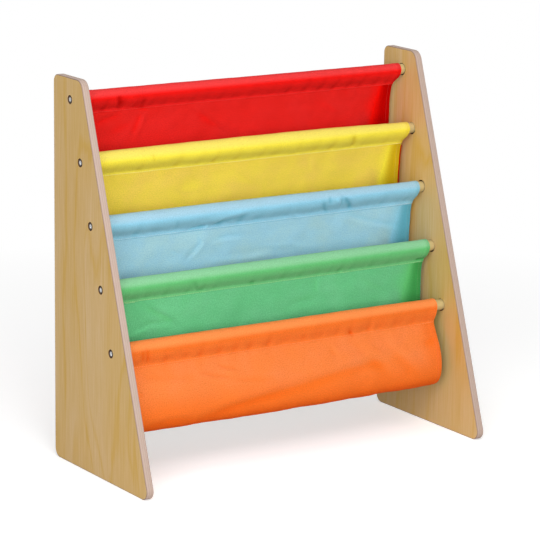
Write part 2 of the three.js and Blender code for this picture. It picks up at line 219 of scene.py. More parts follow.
class Value:
    """A number on a node's socket. Its operators add the Math nodes of an expression."""

    def __init__(self, tree: bpy.types.NodeTree, socket: bpy.types.NodeSocket) -> None:
        """Wraps an output socket of a node tree."""
        self.tree = tree
        self.socket = socket

    def math(self, operation: str, *values: "Value | float") -> "Value":
        """The result of a Math node.

        Args:
            operation: The Math node's operation.
            values: What its sockets take, in order.

        Returns:
            Its result.
        """
        made = self.tree.nodes.new("ShaderNodeMath")
        made.operation = operation
        for socket, value in zip(made.inputs, values):
            if isinstance(value, Value):
                self.tree.links.new(value.socket, socket)
            else:
                socket.default_value = value
        return Value(self.tree, made.outputs[0])

    def __add__(self, other: "Value | float") -> "Value":
        """self + other."""
        return self.math("ADD", self, other)

    __radd__ = __add__

    def __sub__(self, other: "Value | float") -> "Value":
        """self - other."""
        return self.math("SUBTRACT", self, other)

    def __rsub__(self, other: float) -> "Value":
        """other - self."""
        return self.math("SUBTRACT", other, self)

    def __mul__(self, other: "Value | float") -> "Value":
        """self * other."""
        return self.math("MULTIPLY", self, other)

    __rmul__ = __mul__

    def __truediv__(self, other: "Value | float") -> "Value":
        """self / other."""
        return self.math("DIVIDE", self, other)

    def __abs__(self) -> "Value":
        """The size of self without its sign."""
        return self.math("ABSOLUTE", self)

    def sine(self) -> "Value":
        """The sine of self in radians."""
        return self.math("SINE", self)

    def above(self, edge: float, soft: float) -> "Value":
        """0 where self is under edge, rising to 1 at edge + soft."""
        return ((self - edge) / soft).clamped()

    def clamped(self) -> "Value":
        """self held between 0 and 1."""
        return self.math("MINIMUM", self.math("MAXIMUM", self, 0.0), 1.0)


class Recipe:
    """A material, or a world, while its nodes are being written."""

    def __init__(self, made: bpy.types.Material | bpy.types.World) -> None:
        """Starts with no nodes."""
        made.use_nodes = True
        self.made = made
        self.tree = made.node_tree
        self.tree.nodes.clear()

    @classmethod
    def of(cls, name: str) -> "Recipe":
        """Starts a new material."""
        return cls(bpy.data.materials.new(name))

    def node(
        self, kind: str, settings: dict | None = None, sockets: dict | None = None
    ) -> bpy.types.Node:
        """Adds a node.

        Args:
            kind: The node's type.
            settings: Its properties by name.
            sockets: Its inputs by name or number, each a value, a Value or a socket.

        Returns:
            The node.
        """
        made = self.tree.nodes.new(kind)
        for name, value in (settings or {}).items():
            setattr(made, name, value)
        for key, value in (sockets or {}).items():
            value = value.socket if isinstance(value, Value) else value
            if isinstance(value, bpy.types.NodeSocket):
                self.tree.links.new(value, made.inputs[key])
            else:
                made.inputs[key].default_value = value
        return made

    def value(self, kind: str, output: str | int, *about: dict | None) -> Value:
        """An output of a new node, as a Value. What is said about the node is as in node()."""
        return Value(self.tree, self.node(kind, *about).outputs[output])

    def mark(self, name: str) -> Value:
        """A number that the mesh's points carry."""
        return self.value("ShaderNodeAttribute", "Fac", {"attribute_name": name})

    def parts(self, vector: bpy.types.NodeSocket) -> tuple[Value, Value, Value]:
        """The three numbers of a vector."""
        made = self.node("ShaderNodeSeparateXYZ", sockets={0: vector})
        return tuple(Value(self.tree, output) for output in made.outputs)

    def place(self) -> tuple[Value, Value, Value]:
        """The three Object coordinates, in metres."""
        return self.parts(self.node("ShaderNodeTexCoord").outputs["Object"])

    def vector(self, x: Value | float, y: Value | float, z: Value | float) -> bpy.types.NodeSocket:
        """A vector of three numbers."""
        return self.node("ShaderNodeCombineXYZ", sockets={0: x, 1: y, 2: z}).outputs[0]

    def length(self, vector: bpy.types.NodeSocket) -> Value:
        """How long a vector is."""
        return self.value("ShaderNodeVectorMath", "Value", {"operation": "LENGTH"}, {0: vector})

    def noise(
        self, vector: bpy.types.NodeSocket, detail: float = 2.0, rough: float = 0.5, scale: float = 1.0
    ) -> Value:
        """Smooth noise between 0 and 1, with scale cells to a unit of the vector."""
        sockets = {"Vector": vector, "Scale": scale, "Detail": detail, "Roughness": rough}
        return self.value("ShaderNodeTexNoise", 0, None, sockets)

    def drawn_out(self, place: tuple, cells: tuple, *about: float) -> Value:
        """Noise with so many cells to a metre along each axis. The rest is as in noise()."""
        return self.noise(self.vector(*(at * count for at, count in zip(place, cells))), *about)

    def mix(self, share: Value | float, a: object, b: object) -> bpy.types.NodeSocket:
        """The colour a, turning to b as share goes from 0 to 1."""
        return self.node("ShaderNodeMix", {"data_type": "RGBA"}, {0: share, 6: a, 7: b}).outputs[2]

    def shade(self, colour: object, factor: Value) -> bpy.types.NodeSocket:
        """A colour with each of its parts multiplied by a number."""
        grey = self.vector(factor, factor, factor)
        settings = {"data_type": "RGBA", "blend_type": "MULTIPLY"}
        return self.node("ShaderNodeMix", settings, {0: 1.0, 6: colour, 7: grey}).outputs[2]

    def bump(self, height: Value, distance: float, strength: float = 1.0) -> bpy.types.NodeSocket:
        """The normal of a surface whose relief is height times distance."""
        sockets = {"Height": height, "Distance": distance, "Strength": strength}
        return self.node("ShaderNodeBump", sockets=sockets).outputs[0]

    def surface(
        self, colour: object, rough: Value | float, normal: bpy.types.NodeSocket, **constant: float
    ) -> bpy.types.NodeSocket:
        """A Principled shader.

        Args:
            colour: Its base colour.
            rough: Its roughness.
            normal: Its normal.
            constant: Other sockets by name, with low lines for spaces.

        Returns:
            The shader's output.
        """
        sockets = {"Base Color": colour, "Roughness": rough, "Normal": normal}
        sockets |= {name.replace("_", " "): number for name, number in constant.items()}
        return self.shader("BsdfPrincipled", sockets)

    def shader(self, kind: str, sockets: dict) -> bpy.types.NodeSocket:
        """The output of a shader node."""
        return self.node(f"ShaderNode{kind}", sockets=sockets).outputs[0]

    def blend(self, share: Value | float, *pair: bpy.types.NodeSocket) -> bpy.types.NodeSocket:
        """The first of two shaders, turning to the second as share goes from 0 to 1."""
        return self.shader("MixShader", {0: share, 1: pair[0], 2: pair[1]})

    def finish(self, surface: bpy.types.NodeSocket) -> bpy.types.Material:
        """Ends the material with its surface shader."""
        self.node("ShaderNodeOutputMaterial", sockets={"Surface": surface})
        return self.made


@dataclass(frozen=True)
class Veneer:
    """The birch face of a plywood panel: upright grain under a thin satin varnish. drift, grain
    and pores count the cells to a metre along X, Y and Z."""

    pale: tuple = linear(207, 177, 131)
    warm: tuple = linear(199, 160, 79)
    fleck: tuple = linear(176, 122, 62)
    drift: tuple = (1.0, 5.0, 1.3)
    grain: tuple = (90.0, 620.0, 11.0)
    pores: tuple = (90.0, 1500.0, 75.0)

    def material(self) -> bpy.types.Material:
        """Grain is noise drawn out upwards, over broad bands and a few lines that wander like a
        flat cut's.

        Returns:
            The face's material.
        """
        recipe = Recipe.of("birch_veneer")
        x, y, z = place = recipe.place()
        drift = recipe.drawn_out(place, self.drift)
        bands = recipe.noise(recipe.vector(x * 2.0, y * 17.0 + drift * 4.0, z * 0.9), 3.0)
        lines = 1.0 - abs((y * 42.0 + drift * 26.0 + bands * 9.0).sine()).above(0.0, 0.35)
        grain = recipe.drawn_out(place, self.grain, 3.0, 0.6)
        marks = recipe.drawn_out(place, self.pores, 1.0).above(0.66, 0.1)
        tone = (bands * 1.9 + grain * 2.0 + lines * 0.5 - 1.48).clamped()
        colour = recipe.mix(tone, self.pale, self.warm)
        colour = recipe.mix(marks * 0.3, colour, self.fleck)
        colour = recipe.shade(colour, 1.05 - grain * 0.12)
        normal = recipe.bump(grain + marks * -0.6, 0.06 * MM, 0.6)
        rough = 0.46 + grain * 0.12
        return recipe.finish(recipe.surface(colour, rough, normal, Specular_IOR_Level=0.3))


@dataclass(frozen=True)
class PlyEdge:
    """The cut edge of plywood: thin plies of turned grain, with glue lines between them. waver,
    fibre and streak count the cells to a metre along X, Y and Z."""

    middle: float
    thickness: float
    plies: int = 7
    waver: tuple = (40.0, 9.0, 9.0)
    fibre: tuple = (900.0, 240.0, 240.0)
    streak: tuple = (700.0, 30.0, 30.0)
    pale: tuple = linear(170, 150, 138)
    end_grain: tuple = linear(158, 134, 122)
    glue: tuple = linear(104, 76, 59)

    def material(self, name: str) -> bpy.types.Material:
        """Every second ply shows end grain. A glue line is dark where the ply count is whole.

        Args:
            name: The material's name.

        Returns:
            The edge's material.
        """
        recipe = Recipe.of(name)
        x, _, _ = place = recipe.place()
        waver = recipe.drawn_out(place, self.waver) * 0.5 - 0.25
        count = (x - (self.middle - self.thickness / 2)) * (self.plies / self.thickness) + waver * 0.4
        wave = (count * math.pi).sine()
        glue = 1.0 - abs(wave).above(0.0, 0.3)
        turned = (wave * 3.0 + 0.5).clamped()
        fibre = recipe.drawn_out(place, self.fibre)
        streak = recipe.drawn_out(place, self.streak)
        colour = recipe.mix(turned * 0.55, self.pale, self.end_grain)
        colour = recipe.mix(glue * 0.42, colour, self.glue)
        edge = abs(x - self.middle).above(self.thickness / 2 - 1.1 * MM, 0.9 * MM)
        colour = recipe.mix(edge * 0.55, colour, self.glue)
        colour = recipe.shade(colour, 0.90 + fibre * 0.12 + streak * 0.10)
        normal = recipe.bump(fibre + glue * -0.7, 0.08 * MM, 0.7)
        return recipe.finish(recipe.surface(colour, 0.55 + fibre * 0.15, normal))


@dataclass(frozen=True)
class TurnedWood:
    """A dowel's wood: pale birch with its grain along the width. grain and pores count the
    cells to a metre along X, Y and Z."""

    pale: tuple = linear(194, 178, 128)
    warm: tuple = linear(174, 150, 98)
    grain: tuple = (9.0, 420.0, 420.0)
    pores: tuple = (60.0, 1500.0, 1500.0)

    def material(self) -> bpy.types.Material:
        """Noise drawn out along X, and finer pores in the same direction."""
        recipe = Recipe.of("dowel_birch")
        place = recipe.place()
        grain = recipe.drawn_out(place, self.grain, 3.0, 0.6)
        pores = recipe.drawn_out(place, self.pores).above(0.64, 0.1)
        colour = recipe.shade(recipe.mix(grain, self.pale, self.warm), 1.0 - pores * 0.16)
        normal = recipe.bump(grain - pores, 0.05 * MM, 0.7)
        return recipe.finish(recipe.surface(colour, 0.5 + grain * 0.15, normal))


@dataclass(frozen=True)
class BoredWood:
    """The wall of a drilled hole: torn grain, in a dark colour that is painted shade for the
    hole's depth.
    """

    colour: tuple = linear(88, 60, 38)
    cells: float = 1400.0

    def material(self) -> bpy.types.Material:
        """Fine noise moves the colour and stands out as torn fibres."""
        recipe = Recipe.of("bored_wood")
        fibre = recipe.noise(recipe.vector(*recipe.place()), scale=self.cells)
        colour = recipe.shade(self.colour, 0.8 + fibre * 0.4)
        return recipe.finish(recipe.surface(colour, 0.75, recipe.bump(fibre, 0.1 * MM)))


@dataclass(frozen=True)
class Metal:
    """A bright metal with fine scratches and slightly uneven plating. Where its mark of painted
    shade fade is 0 it takes a dark brown colour instead, painted shade."""

    name: str
    colour: tuple
    roughness: float
    painted_shade: tuple | None = None
    cloud: float = 380.0
    scratch: tuple = (900.0, 5000.0, 700.0)

    def material(self) -> bpy.types.Material:
        """Noise at two scales moves the colour and the roughness a little."""
        recipe = Recipe.of(self.name)
        place = recipe.place()
        cloud = recipe.noise(recipe.vector(*place), scale=self.cloud)
        scratch = recipe.drawn_out(place, self.scratch)
        colour = self.colour
        # Painted shade: away from the bolt head's middle the colour turns to dark brown, for the shadow in
        # the counterbore.
        if self.painted_shade:
            colour = recipe.mix(recipe.mark(PAINTED_SHADE_FADE), self.painted_shade, self.colour)
        colour = recipe.shade(colour, 0.88 + cloud * 0.22)
        rough = self.roughness + scratch * 0.16 + cloud * 0.08
        normal = recipe.bump(scratch, 0.01 * MM, 0.5)
        return recipe.finish(recipe.surface(colour, rough, normal, Metallic=1.0))


@dataclass(frozen=True)
class Cloth:
    """A plain-woven cloth: its colours where it hangs as one layer, in patches of that, where it
    lies double, at a hem, and a paler crown colour painted on top of each sleeve as a painted
    highlight. The double and hem colours also serve as painted shade near the right end, in
    crease hollows and towards the belly's bottom. A share of painted light makes the cloth paler
    low on each wall, against the shade that the next sleeve casts there, and slubs, specks and
    clouds count the cells of its noise to a metre."""

    name: str
    single: tuple
    patch: tuple
    double: tuple
    hem: tuple
    crown: tuple
    thread: tuple
    gloss: float = 0.3
    see_through: float = 0.3
    mottle: float = 0.72
    low_wall_painted_light: float = 0.17
    yarn: float = 0.62 * MM
    slubs: tuple = (1150.0, 85.0)
    specks: float = 560.0
    clouds: float = 22.0

    @classmethod
    def dyed(cls, name: str, *colours: tuple[int, int, int], **looks: float) -> "Cloth":
        """A cloth from its colours' display values, 0 to 255, in the order of its fields."""
        return cls(name, *(linear(*colour) for colour in colours), **looks)

    def material(self) -> bpy.types.Material:
        """A plain weave on the flat map, which holds metres along both yarns.

        With a and b the sines of the place over the yarn's width, the warp lies on top where
        a*b is above zero, and the height is that of the yarn on top: |a| or |b|. The height also
        lightens the yarns' tops a little, painted shade between the yarns. Slubs are noise drawn
        out along each yarn, and a faint cloud moves the dye. The mark of layers is 0 on one layer,
        1 on two and 2 at a hem; it also carries painted shade, up to the hem colour, near the right
        end, in crease hollows and towards the belly's bottom, and below 0 painted light that makes
        the cloth paler low on each wall. The crown mark mixes in the paler crown colour on top of
        each sleeve, a painted highlight.

        Returns:
            The cloth's material.
        """
        recipe = Recipe.of(f"cloth_{self.name}")
        flat = recipe.node("ShaderNodeUVMap", {"uv_map": FLAT_MAP}).outputs[0]
        across, along, _ = recipe.parts(flat)
        a, b = ((at * (math.pi / self.yarn)).sine() for at in (across, along))
        on_top = (a * b * 2.5 + 0.5).clamped()
        height = abs(a) * on_top + abs(b) * (1.0 - on_top)
        beside, onward = self.slubs
        warp = recipe.noise(recipe.vector(across * beside, along * onward, 0.0), 1.0)
        weft = recipe.noise(recipe.vector(across * onward, along * beside, 3.0), 1.0)
        speck = recipe.noise(recipe.vector(across, along, 1.0), scale=self.specks)
        cloud = recipe.noise(recipe.vector(across, along, 2.0), 3.0, scale=self.clouds)
        layers = recipe.mark(LAYERS_AND_SHADE)
        patch = (cloud * 3.0 + speck * 3.0 - 2.6).clamped()
        colour = recipe.mix(patch, self.single, self.patch)
        colour = recipe.mix(layers.clamped(), colour, self.double)
        # Painted highlight: the paler crown colour on top of each sleeve.
        colour = recipe.mix(recipe.mark(PAINTED_HIGHLIGHT), colour, self.crown)
        # The hem colour also serves as painted shade, where the mark of layers rises above 1.
        colour = recipe.mix((layers - 1.0).clamped(), colour, self.hem)
        # Yarn height lightens the yarns' tops a little: painted shade between the yarns.
        tone = 0.85 + height * 0.06 + (warp + weft) * 0.12 + (speck - 0.5) * self.mottle
        # Painted light: where the mark is below 0, low on each wall, the cloth is made paler against the
        # shade of the next sleeve.
        tone = tone + (layers * -self.low_wall_painted_light).clamped()
        colour = recipe.shade(colour, tone)
        normal = recipe.bump(height + (warp + weft) * 0.5, 0.10 * MM, 0.55)
        surface = recipe.surface(
            colour, 0.68 + speck * 0.12, normal,
            Sheen_Weight=0.5 * self.gloss, Sheen_Roughness=0.45, Specular_IOR_Level=self.gloss,
        )
        through = recipe.shader("BsdfTranslucent", {"Color": self.hem})
        return recipe.finish(recipe.blend(self.see_through, surface, through))

    def thread_material(self, use: str, colour: tuple) -> bpy.types.Material:
        """Twisted sewing thread: fine slanting bands over a colour, darker in the twist's grooves as
        painted shade.
        """
        recipe = Recipe.of(f"{use}_thread_{self.name}")
        x, _, z = recipe.place()
        ply = abs(((x + z) * (math.pi / (0.35 * MM))).sine())
        colour = recipe.shade(colour, 0.86 + ply * 0.14)
        return recipe.finish(recipe.surface(colour, 0.5 + ply * 0.1, recipe.bump(ply, 0.04 * MM, 0.6)))


# The slings

class Fold(Enum):
    """How the cloth lies along a crease."""

    RIDGE = "raised"
    VALLEY = "sunk"
    STEP = "raised on the crease's left and sunk on its right"


@dataclass(frozen=True)
class Crease:
    """A crease in a sling, through places given by how far across they are and their drop.
    A step with a height below 0 is raised on its right."""

    fold: Fold
    width: float
    height: float
    places: tuple[tuple[float, float], ...]

    @classmethod
    def row(cls, fold: Fold, width: float, height: float, *places: tuple[float, float]) -> "Crease":
        """A crease from sizes and places in millimetres."""
        return cls(fold, width * MM, height * MM, tuple((x * MM, drop * MM) for x, drop in places))

    def relief(self, across: np.ndarray, drop: np.ndarray) -> np.ndarray:
        """How far the cloth stands out at each place.

        With d the distance to the crease in widths, a ridge is exp(-d*d) of the height, and a
        step is the slope of that bell. Both fade towards the crease's ends.

        Args:
            across: Places across the sling.
            drop: Their drops.

        Returns:
            Heights, in an array like across.
        """
        near = np.full(across.shape, np.inf)
        side = np.zeros(across.shape)
        walked = np.zeros(across.shape)
        start = 0.0
        for (x0, d0), (x1, d1) in zip(self.places[:-1], self.places[1:]):
            length = math.hypot(x1 - x0, d1 - d0)
            run, fall = (x1 - x0) / length, (d1 - d0) / length
            step = np.clip((across - x0) * run + (drop - d0) * fall, 0, length)
            off_x, off_d = across - x0 - step * run, drop - d0 - step * fall
            away = np.hypot(off_x, off_d)
            closer = away < near
            near = np.where(closer, away, near)
            side = np.where(closer, off_x * fall - off_d * run, side)
            walked = np.where(closer, start + step, walked)
            start += length
        bell = np.exp(-((near / self.width) ** 2))
        share = walked / start
        fade = smooth_step(share, -0.12, 0.3) * (1 - smooth_step(share, 0.7, 1.12))
        if self.fold is Fold.STEP:
            bell = 2.33 * bell * np.clip(side / self.width, -3, 3)
        sign = -1 if self.fold is Fold.VALLEY else 1
        return sign * self.height * fade * bell


@dataclass(frozen=True)
class ClothSizes:
    """Sizes that all five slings share.

    Lengths are in metres and angles in degrees. flap_taper and flap_rise are shares of the
    thickness and the lift, row by row of the flap. swell and behind are shares of the sleeve's
    reach and height. Fades and columns are counted in hems from the cloth's end.
    """

    thickness: float = 0.8 * MM
    solid_thickness: float = 1.4 * MM
    layer_pitch: float = 2.0 * MM
    seam_drop: float = 24 * MM
    flap_lift: float = 0.85 * MM
    flap_taper: tuple = (0.35, 0.75)
    flap_rise: tuple = (0.6, 0.92, 1, 1, 1)
    swell: tuple = ((0.06, 0.12), (0.28, 0.30), (0.60, 0.51), (0.86, 0.75))
    sleeve_angles: tuple = (-8, 14, 37, 62, 89, 118, 148, 180)
    behind: tuple = (0.5, 0.8, 1.0)
    rise_top_drop: float = 31 * MM
    mid_drop: float = 46 * MM
    low_drop: float = 90 * MM
    pocket_drop: float = 150 * MM
    hem: float = 12 * MM
    hem_fold: float = 0.30 * MM
    hem_soft: float = 0.05
    edge_turn: float = 4.2 * MM
    edge_turn_width: float = 34 * MM
    edge_turn_power: float = 2.3
    edge_turn_fade: float = 9 * MM
    fold_depth: float = 1.4 * MM
    fold_fade: float = 30 * MM
    long_fold: float = 330 * MM
    short_fold: float = 147 * MM
    long_share: float = 0.62
    phase_share: float = 0.29
    stitch_pitch: float = 3.1 * MM
    hem_line: float = 8.5 * MM
    seam_line: float = 0.6
    # Painted shade near the right end, partly the real hem: two fades, how much wider they spread low down,
    # and their share on the sleeve.
    end_shade_fades: tuple = ((1.3, 4.2), (0.9, 2.6))
    end_shade_spread: float = 0.5
    sleeve_end_shade_fades: tuple = ((1.0, 3.2), (0.3, 1.1))
    sleeve_end_shade: float = 0.65
    # Painted highlight on top of each sleeve, fading in between these leans.
    painted_highlight_lean: tuple = (-20, 32)
    puckers: int = 12
    pucker_lengths: tuple = (9 * MM, 38 * MM)
    pucker_height: float = 0.0044
    pucker_reach: float = 11 * MM
    ripples: int = 26
    ripple_lengths: tuple = (14 * MM, 85 * MM)
    ripple_height: float = 0.0018
    hem_columns: tuple = (0, 0.03, 0.08, 0.2, 0.36, 0.52, 0.68, 0.84, 0.93, 0.98, 1.03, 1.08, 1.2)
    middle_from: float = 1.36
    middle_columns: int = 262
    layer_reach: float = 1.4 * MM
    loose_pitch: float = 0.9 * MM
    # Painted shade in crease hollows: the depth at which it is full.
    hollow: float = 2.5 * MM
    # Painted light low on each wall, rising between these drops.
    low_wall_painted_light: tuple = (58 * MM, 86 * MM)
    clearance: float = 0.75 * MM
    give: float = 0.2 * MM


@dataclass
class Stretch:
    """Part of a sling's way round. Every array has a row for each place along the way and a
    column for each place across.

    forward and up are measured from the sling's own dowel. own and next are the shares of this
    tier's relief and the next one's that the place takes. lean is the angle above forward in
    which fine relief stands out, and detail is how much of it there is. layers is 1 where the
    cloth lies double, and inset is how far its ends are drawn in.
    """

    forward: np.ndarray
    up: np.ndarray
    own: np.ndarray
    next: np.ndarray
    lean: np.ndarray
    detail: np.ndarray
    layers: np.ndarray
    inset: np.ndarray

    @classmethod
    def of_curve(cls, curve: np.ndarray, columns: int, layers: float = 0.0) -> "Stretch":
        """A stretch that is the same all across.

        Args:
            curve: Rows of forward, up, own, next, lean, detail and inset.
            columns: Places across.
            layers: The value of layers.

        Returns:
            The stretch.
        """
        wide = [np.repeat(curve[:, i : i + 1], columns, axis=1) for i in range(curve.shape[1])]
        forward, up, own, following, lean, detail, inset = wide
        return cls(forward, up, own, following, lean, detail, np.full(up.shape, layers), inset)

    def then(self, other: "Stretch") -> "Stretch":
        """This stretch with another one after it."""
        names = self.__dataclass_fields__
        return Stretch(*(np.concatenate([getattr(self, n), getattr(other, n)]) for n in names))


@dataclass(frozen=True)
class Sling:
    """A sling of cloth that hangs from its dowel by a sewn sleeve.

    The sleeve's cloth comes up in front of the dowel and down behind it. It goes on as the
    wall, round the foot of the pocket and up behind the next sling's wall, where it is sewn.
    seam_back, mid_back and low_back say how far behind the dowel's axis the front of the wall
    lies at three drops, and sleeve gives the sleeve's outer radius at even steps from the left.
    flap is how far the front edge hangs below the seam, and loose_end the way of a thread's
    end. shown is how far along its way the cloth is seen, and rows are its rows there and on.
    """

    colour: str
    tier: int
    cloth: Cloth
    flap: float
    sleeve: tuple[float, ...]
    creases: tuple[Crease, ...]
    seam_back: float = 0.0
    mid_back: float = 0.0
    low_back: float = 0.0
    sizes: ClothSizes = ClothSizes()
    loose_end: tuple[tuple[float, float], ...] = ()
    shown: float = 76 * MM
    rows: tuple[int, int] = (50, 30)

    @property
    def node(self) -> str:
        """The name of the solid that the sling stands for."""
        return f"sling_{self.colour}"

    @property
    def slot(self) -> str:
        """The record's slot of its cloth."""
        return f"{self.colour}_cloth"

    def span(self) -> tuple[float, float]:
        """The sling's left and right ends, from its solid."""
        low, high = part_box(self.node)
        return low.x, high.x

    def wall_back(self, drop: float) -> float:
        """How far behind the dowel's axis the middle of the wall's cloth lies at a drop."""
        drops = [self.sizes.seam_drop, self.sizes.mid_drop, self.sizes.low_drop]
        backs = [self.seam_back, self.mid_back, self.low_back]
        return float(np.interp(drop, drops, backs)) + self.sizes.solid_thickness / 2

    def folds(self, across: np.ndarray, drop: np.ndarray) -> np.ndarray:
        """How far forward the main folds and the turned-back edges bring the cloth.

        Two sine waves across the width grow from nothing at the seam. Near each end the cloth
        turns back by a power of the share of the edge's width that is left.
        """
        sizes = self.sizes
        phase = TURN * sizes.phase_share * self.tier
        wave = sizes.long_share * np.sin(TURN * across / sizes.long_fold + phase)
        wave = wave + (1 - sizes.long_share) * np.sin(TURN * across / sizes.short_fold - 2 * phase)
        growth = smooth_step(drop, sizes.seam_drop, sizes.seam_drop + sizes.fold_fade)
        left, right = self.span()
        from_end = np.minimum(across - left, right - across)
        turned = np.clip(1 - from_end / sizes.edge_turn_width, 0, 1) ** sizes.edge_turn_power
        fade = sizes.edge_turn_fade
        pulled = smooth_step(drop, sizes.seam_drop - fade, sizes.seam_drop + fade)
        return growth * sizes.fold_depth * wave - pulled * sizes.edge_turn * turned

    def sewn(self, across: np.ndarray, drop: np.ndarray) -> np.ndarray:
        """How far the creases and the puckers along the seam stand out.

        Both are twice as high on the sleeve as on the wall. Puckers are waves across the width,
        each as high as a fixed share of its drawn length, and strongest at the seam.
        """
        draw, sizes = np.random.default_rng(80 + self.tier), self.sizes
        seam = sizes.seam_drop
        puckers = np.zeros(across.shape)
        for _ in range(sizes.puckers):
            length, phase = draw.uniform(*sizes.pucker_lengths), draw.uniform(0, TURN)
            puckers = puckers + sizes.pucker_height * length * np.sin(TURN * across / length + phase)
        relief = sum(crease.relief(across, drop) for crease in self.creases)
        relief = relief + puckers * np.exp(-np.abs(drop - 0.9 * seam) / sizes.pucker_reach)
        return relief * (2.0 - smooth_step(drop, 0.8 * seam, 1.15 * seam))

    def fine(self, across: np.ndarray, drop: np.ndarray) -> np.ndarray:
        """How far the creases, the puckers and the small ripples stand out.

        A ripple is a plane wave in a drawn direction, and its height is a fixed share of its
        drawn length. Ripples are lower on the sleeve.
        """
        draw, sizes = np.random.default_rng(40 + self.tier), self.sizes
        shortest, longest = (math.log(length) for length in sizes.ripple_lengths)
        ripples = np.zeros(across.shape)
        for _ in range(sizes.ripples):
            length = math.exp(draw.uniform(shortest, longest))
            heading, phase = draw.uniform(0, math.pi), draw.uniform(0, TURN)
            turns = (across * math.cos(heading) + drop * math.sin(heading)) / length
            ripples = ripples + sizes.ripple_height * length * np.sin(TURN * turns + phase)
        share = 0.45 + 0.55 * smooth_step(drop, -0.3 * sizes.seam_drop, 0.6 * sizes.seam_drop)
        return self.sewn(across, drop) + ripples * share

    def lift(self, across: np.ndarray, drop: np.ndarray) -> np.ndarray:
        """How much higher the cloth hangs than its smooth way: nothing on a hanging sling."""
        return np.zeros(across.shape)

    def flap_and_sleeve(self, columns: np.ndarray) -> Stretch:
        """The flap in front of the seam, and the sleeve from the seam forwards over the dowel.

        From the seam the sleeve first rises along the wall, then swells forward to a circle about
        the dowel, follows it over the top, and comes down straight behind it to the seam.

        Args:
            columns: Places across.

        Returns:
            The stretch, ending at the seam behind the sleeve.
        """
        sizes, count = self.sizes, len(columns)
        back = self.wall_back(sizes.seam_drop)
        flap_rows = len(sizes.flap_rise)
        drops = np.linspace(sizes.seam_drop + self.flap, sizes.seam_drop, flap_rows + 1)[:-1]
        backs = np.array([self.wall_back(drop) for drop in drops])
        fronts = sizes.flap_lift * np.array(sizes.flap_rise) - backs
        one, none = np.ones(flap_rows), np.zeros(flap_rows)
        flap = Stretch.of_curve(np.stack([fronts, -drops, one, none, none, one, none], 1), count, 1.0)
        left, right = self.span()
        share = (columns - left) / (right - left)
        outer = smooth_curve(np.array(self.sleeve)[:, None])[:, 0]
        radius = np.interp(share, np.linspace(0, 1, len(outer)), outer)
        front = sizes.flap_lift - back
        nodes = [(front, -sizes.seam_drop, 1, 0)]
        angles = np.radians(sizes.sleeve_angles)
        first = angles[0]
        for ahead, above in sizes.swell:
            forward = front + (radius * math.cos(first) - front) * ahead
            up = (radius * math.sin(first) + sizes.seam_drop) * above - sizes.seam_drop
            nodes.append((forward, up, 1, 0.7 * first * above))
        for angle in angles:
            shown = 1 - float(smooth_step(angle, 0.5 * math.pi, 0.8 * math.pi))
            nodes.append((radius * math.cos(angle), radius * math.sin(angle), shown, angle * shown))
        for down in sizes.behind:
            place = -radius * (1 - down) - back * down
            nodes.append((place, -sizes.seam_drop * down, float(down == 1), 0))
        rows = [np.concatenate([np.broadcast_to(value, (count,)) for value in node]) for node in nodes]
        forward, up, own, lean = smooth_curve(np.stack(rows), 5).reshape(-1, 4, count).swapaxes(0, 1)
        nothing = np.zeros(forward.shape)
        sleeve = Stretch(forward, up, own, nothing, lean, own, nothing + 1, nothing)
        return flap.then(sleeve)

    def wall_nodes(self) -> list[list[float]]:
        """The wall from its seam to the foot of the pocket, as rows for Stretch.of_curve."""
        sizes = self.sizes
        between = (sizes.mid_drop + sizes.low_drop) / 2
        deep = (sizes.low_drop + sizes.pocket_drop) / 2
        drops = [sizes.seam_drop, sizes.rise_top_drop, sizes.mid_drop, between, sizes.low_drop]
        drops += [deep, sizes.pocket_drop]
        return [[-self.wall_back(drop), -drop, 1, 0, 0, 1, 0] for drop in drops]

    def way(self, shelf: "Shelf") -> np.ndarray:
        """The cloth's way from the seam behind the sleeve to its far hem.

        It goes down the wall, round a half circle under the pocket, and up one layer behind the
        next sling's wall to below that sling's seam.

        Args:
            shelf: The shelf, for the next sling and the steps between dowels.

        Returns:
            Nodes, as rows for Stretch.of_curve.
        """
        sizes, following = self.sizes, shelf.slings[self.tier + 1]
        ahead, fall = shelf.tier_advance, shelf.tier_drop
        back = -self.wall_back(sizes.pocket_drop)
        rise = ahead - following.wall_back(sizes.pocket_drop) - sizes.layer_pitch
        radius = (rise - back) / 2
        foot = -fall - sizes.pocket_drop + radius
        middle = (foot - sizes.pocket_drop) / 2
        nodes = self.wall_nodes() + [[back, middle, 0.5, 0.5, 0, 1, 0]]
        for angle in np.linspace(0, math.pi, 7)[:-1]:
            forward = back + radius * (1 - math.cos(angle))
            nodes.append([forward, foot - radius * math.sin(angle), 0, 1, 0, 1, 0])
        drops = [sizes.pocket_drop - radius, (sizes.low_drop + sizes.pocket_drop) / 2]
        drops += [sizes.low_drop, (sizes.mid_drop + sizes.low_drop) / 2]
        for drop in [*drops, sizes.mid_drop, sizes.rise_top_drop]:
            place = ahead - following.wall_back(drop) - sizes.layer_pitch
            nodes.append([place, -fall - drop, 0, 1, 0, 1, -sizes.layer_reach])
        return np.array(nodes)

    def columns(self) -> np.ndarray:
        """Places across: even steps, with closer ones over the hems at both ends."""
        left, right = self.span()
        side = np.array(self.sizes.hem_columns) * self.sizes.hem
        inside = self.sizes.middle_from * self.sizes.hem
        middle = np.linspace(left + inside, right - inside, self.sizes.middle_columns)
        return np.concatenate([left + side, middle, right - side[::-1]])

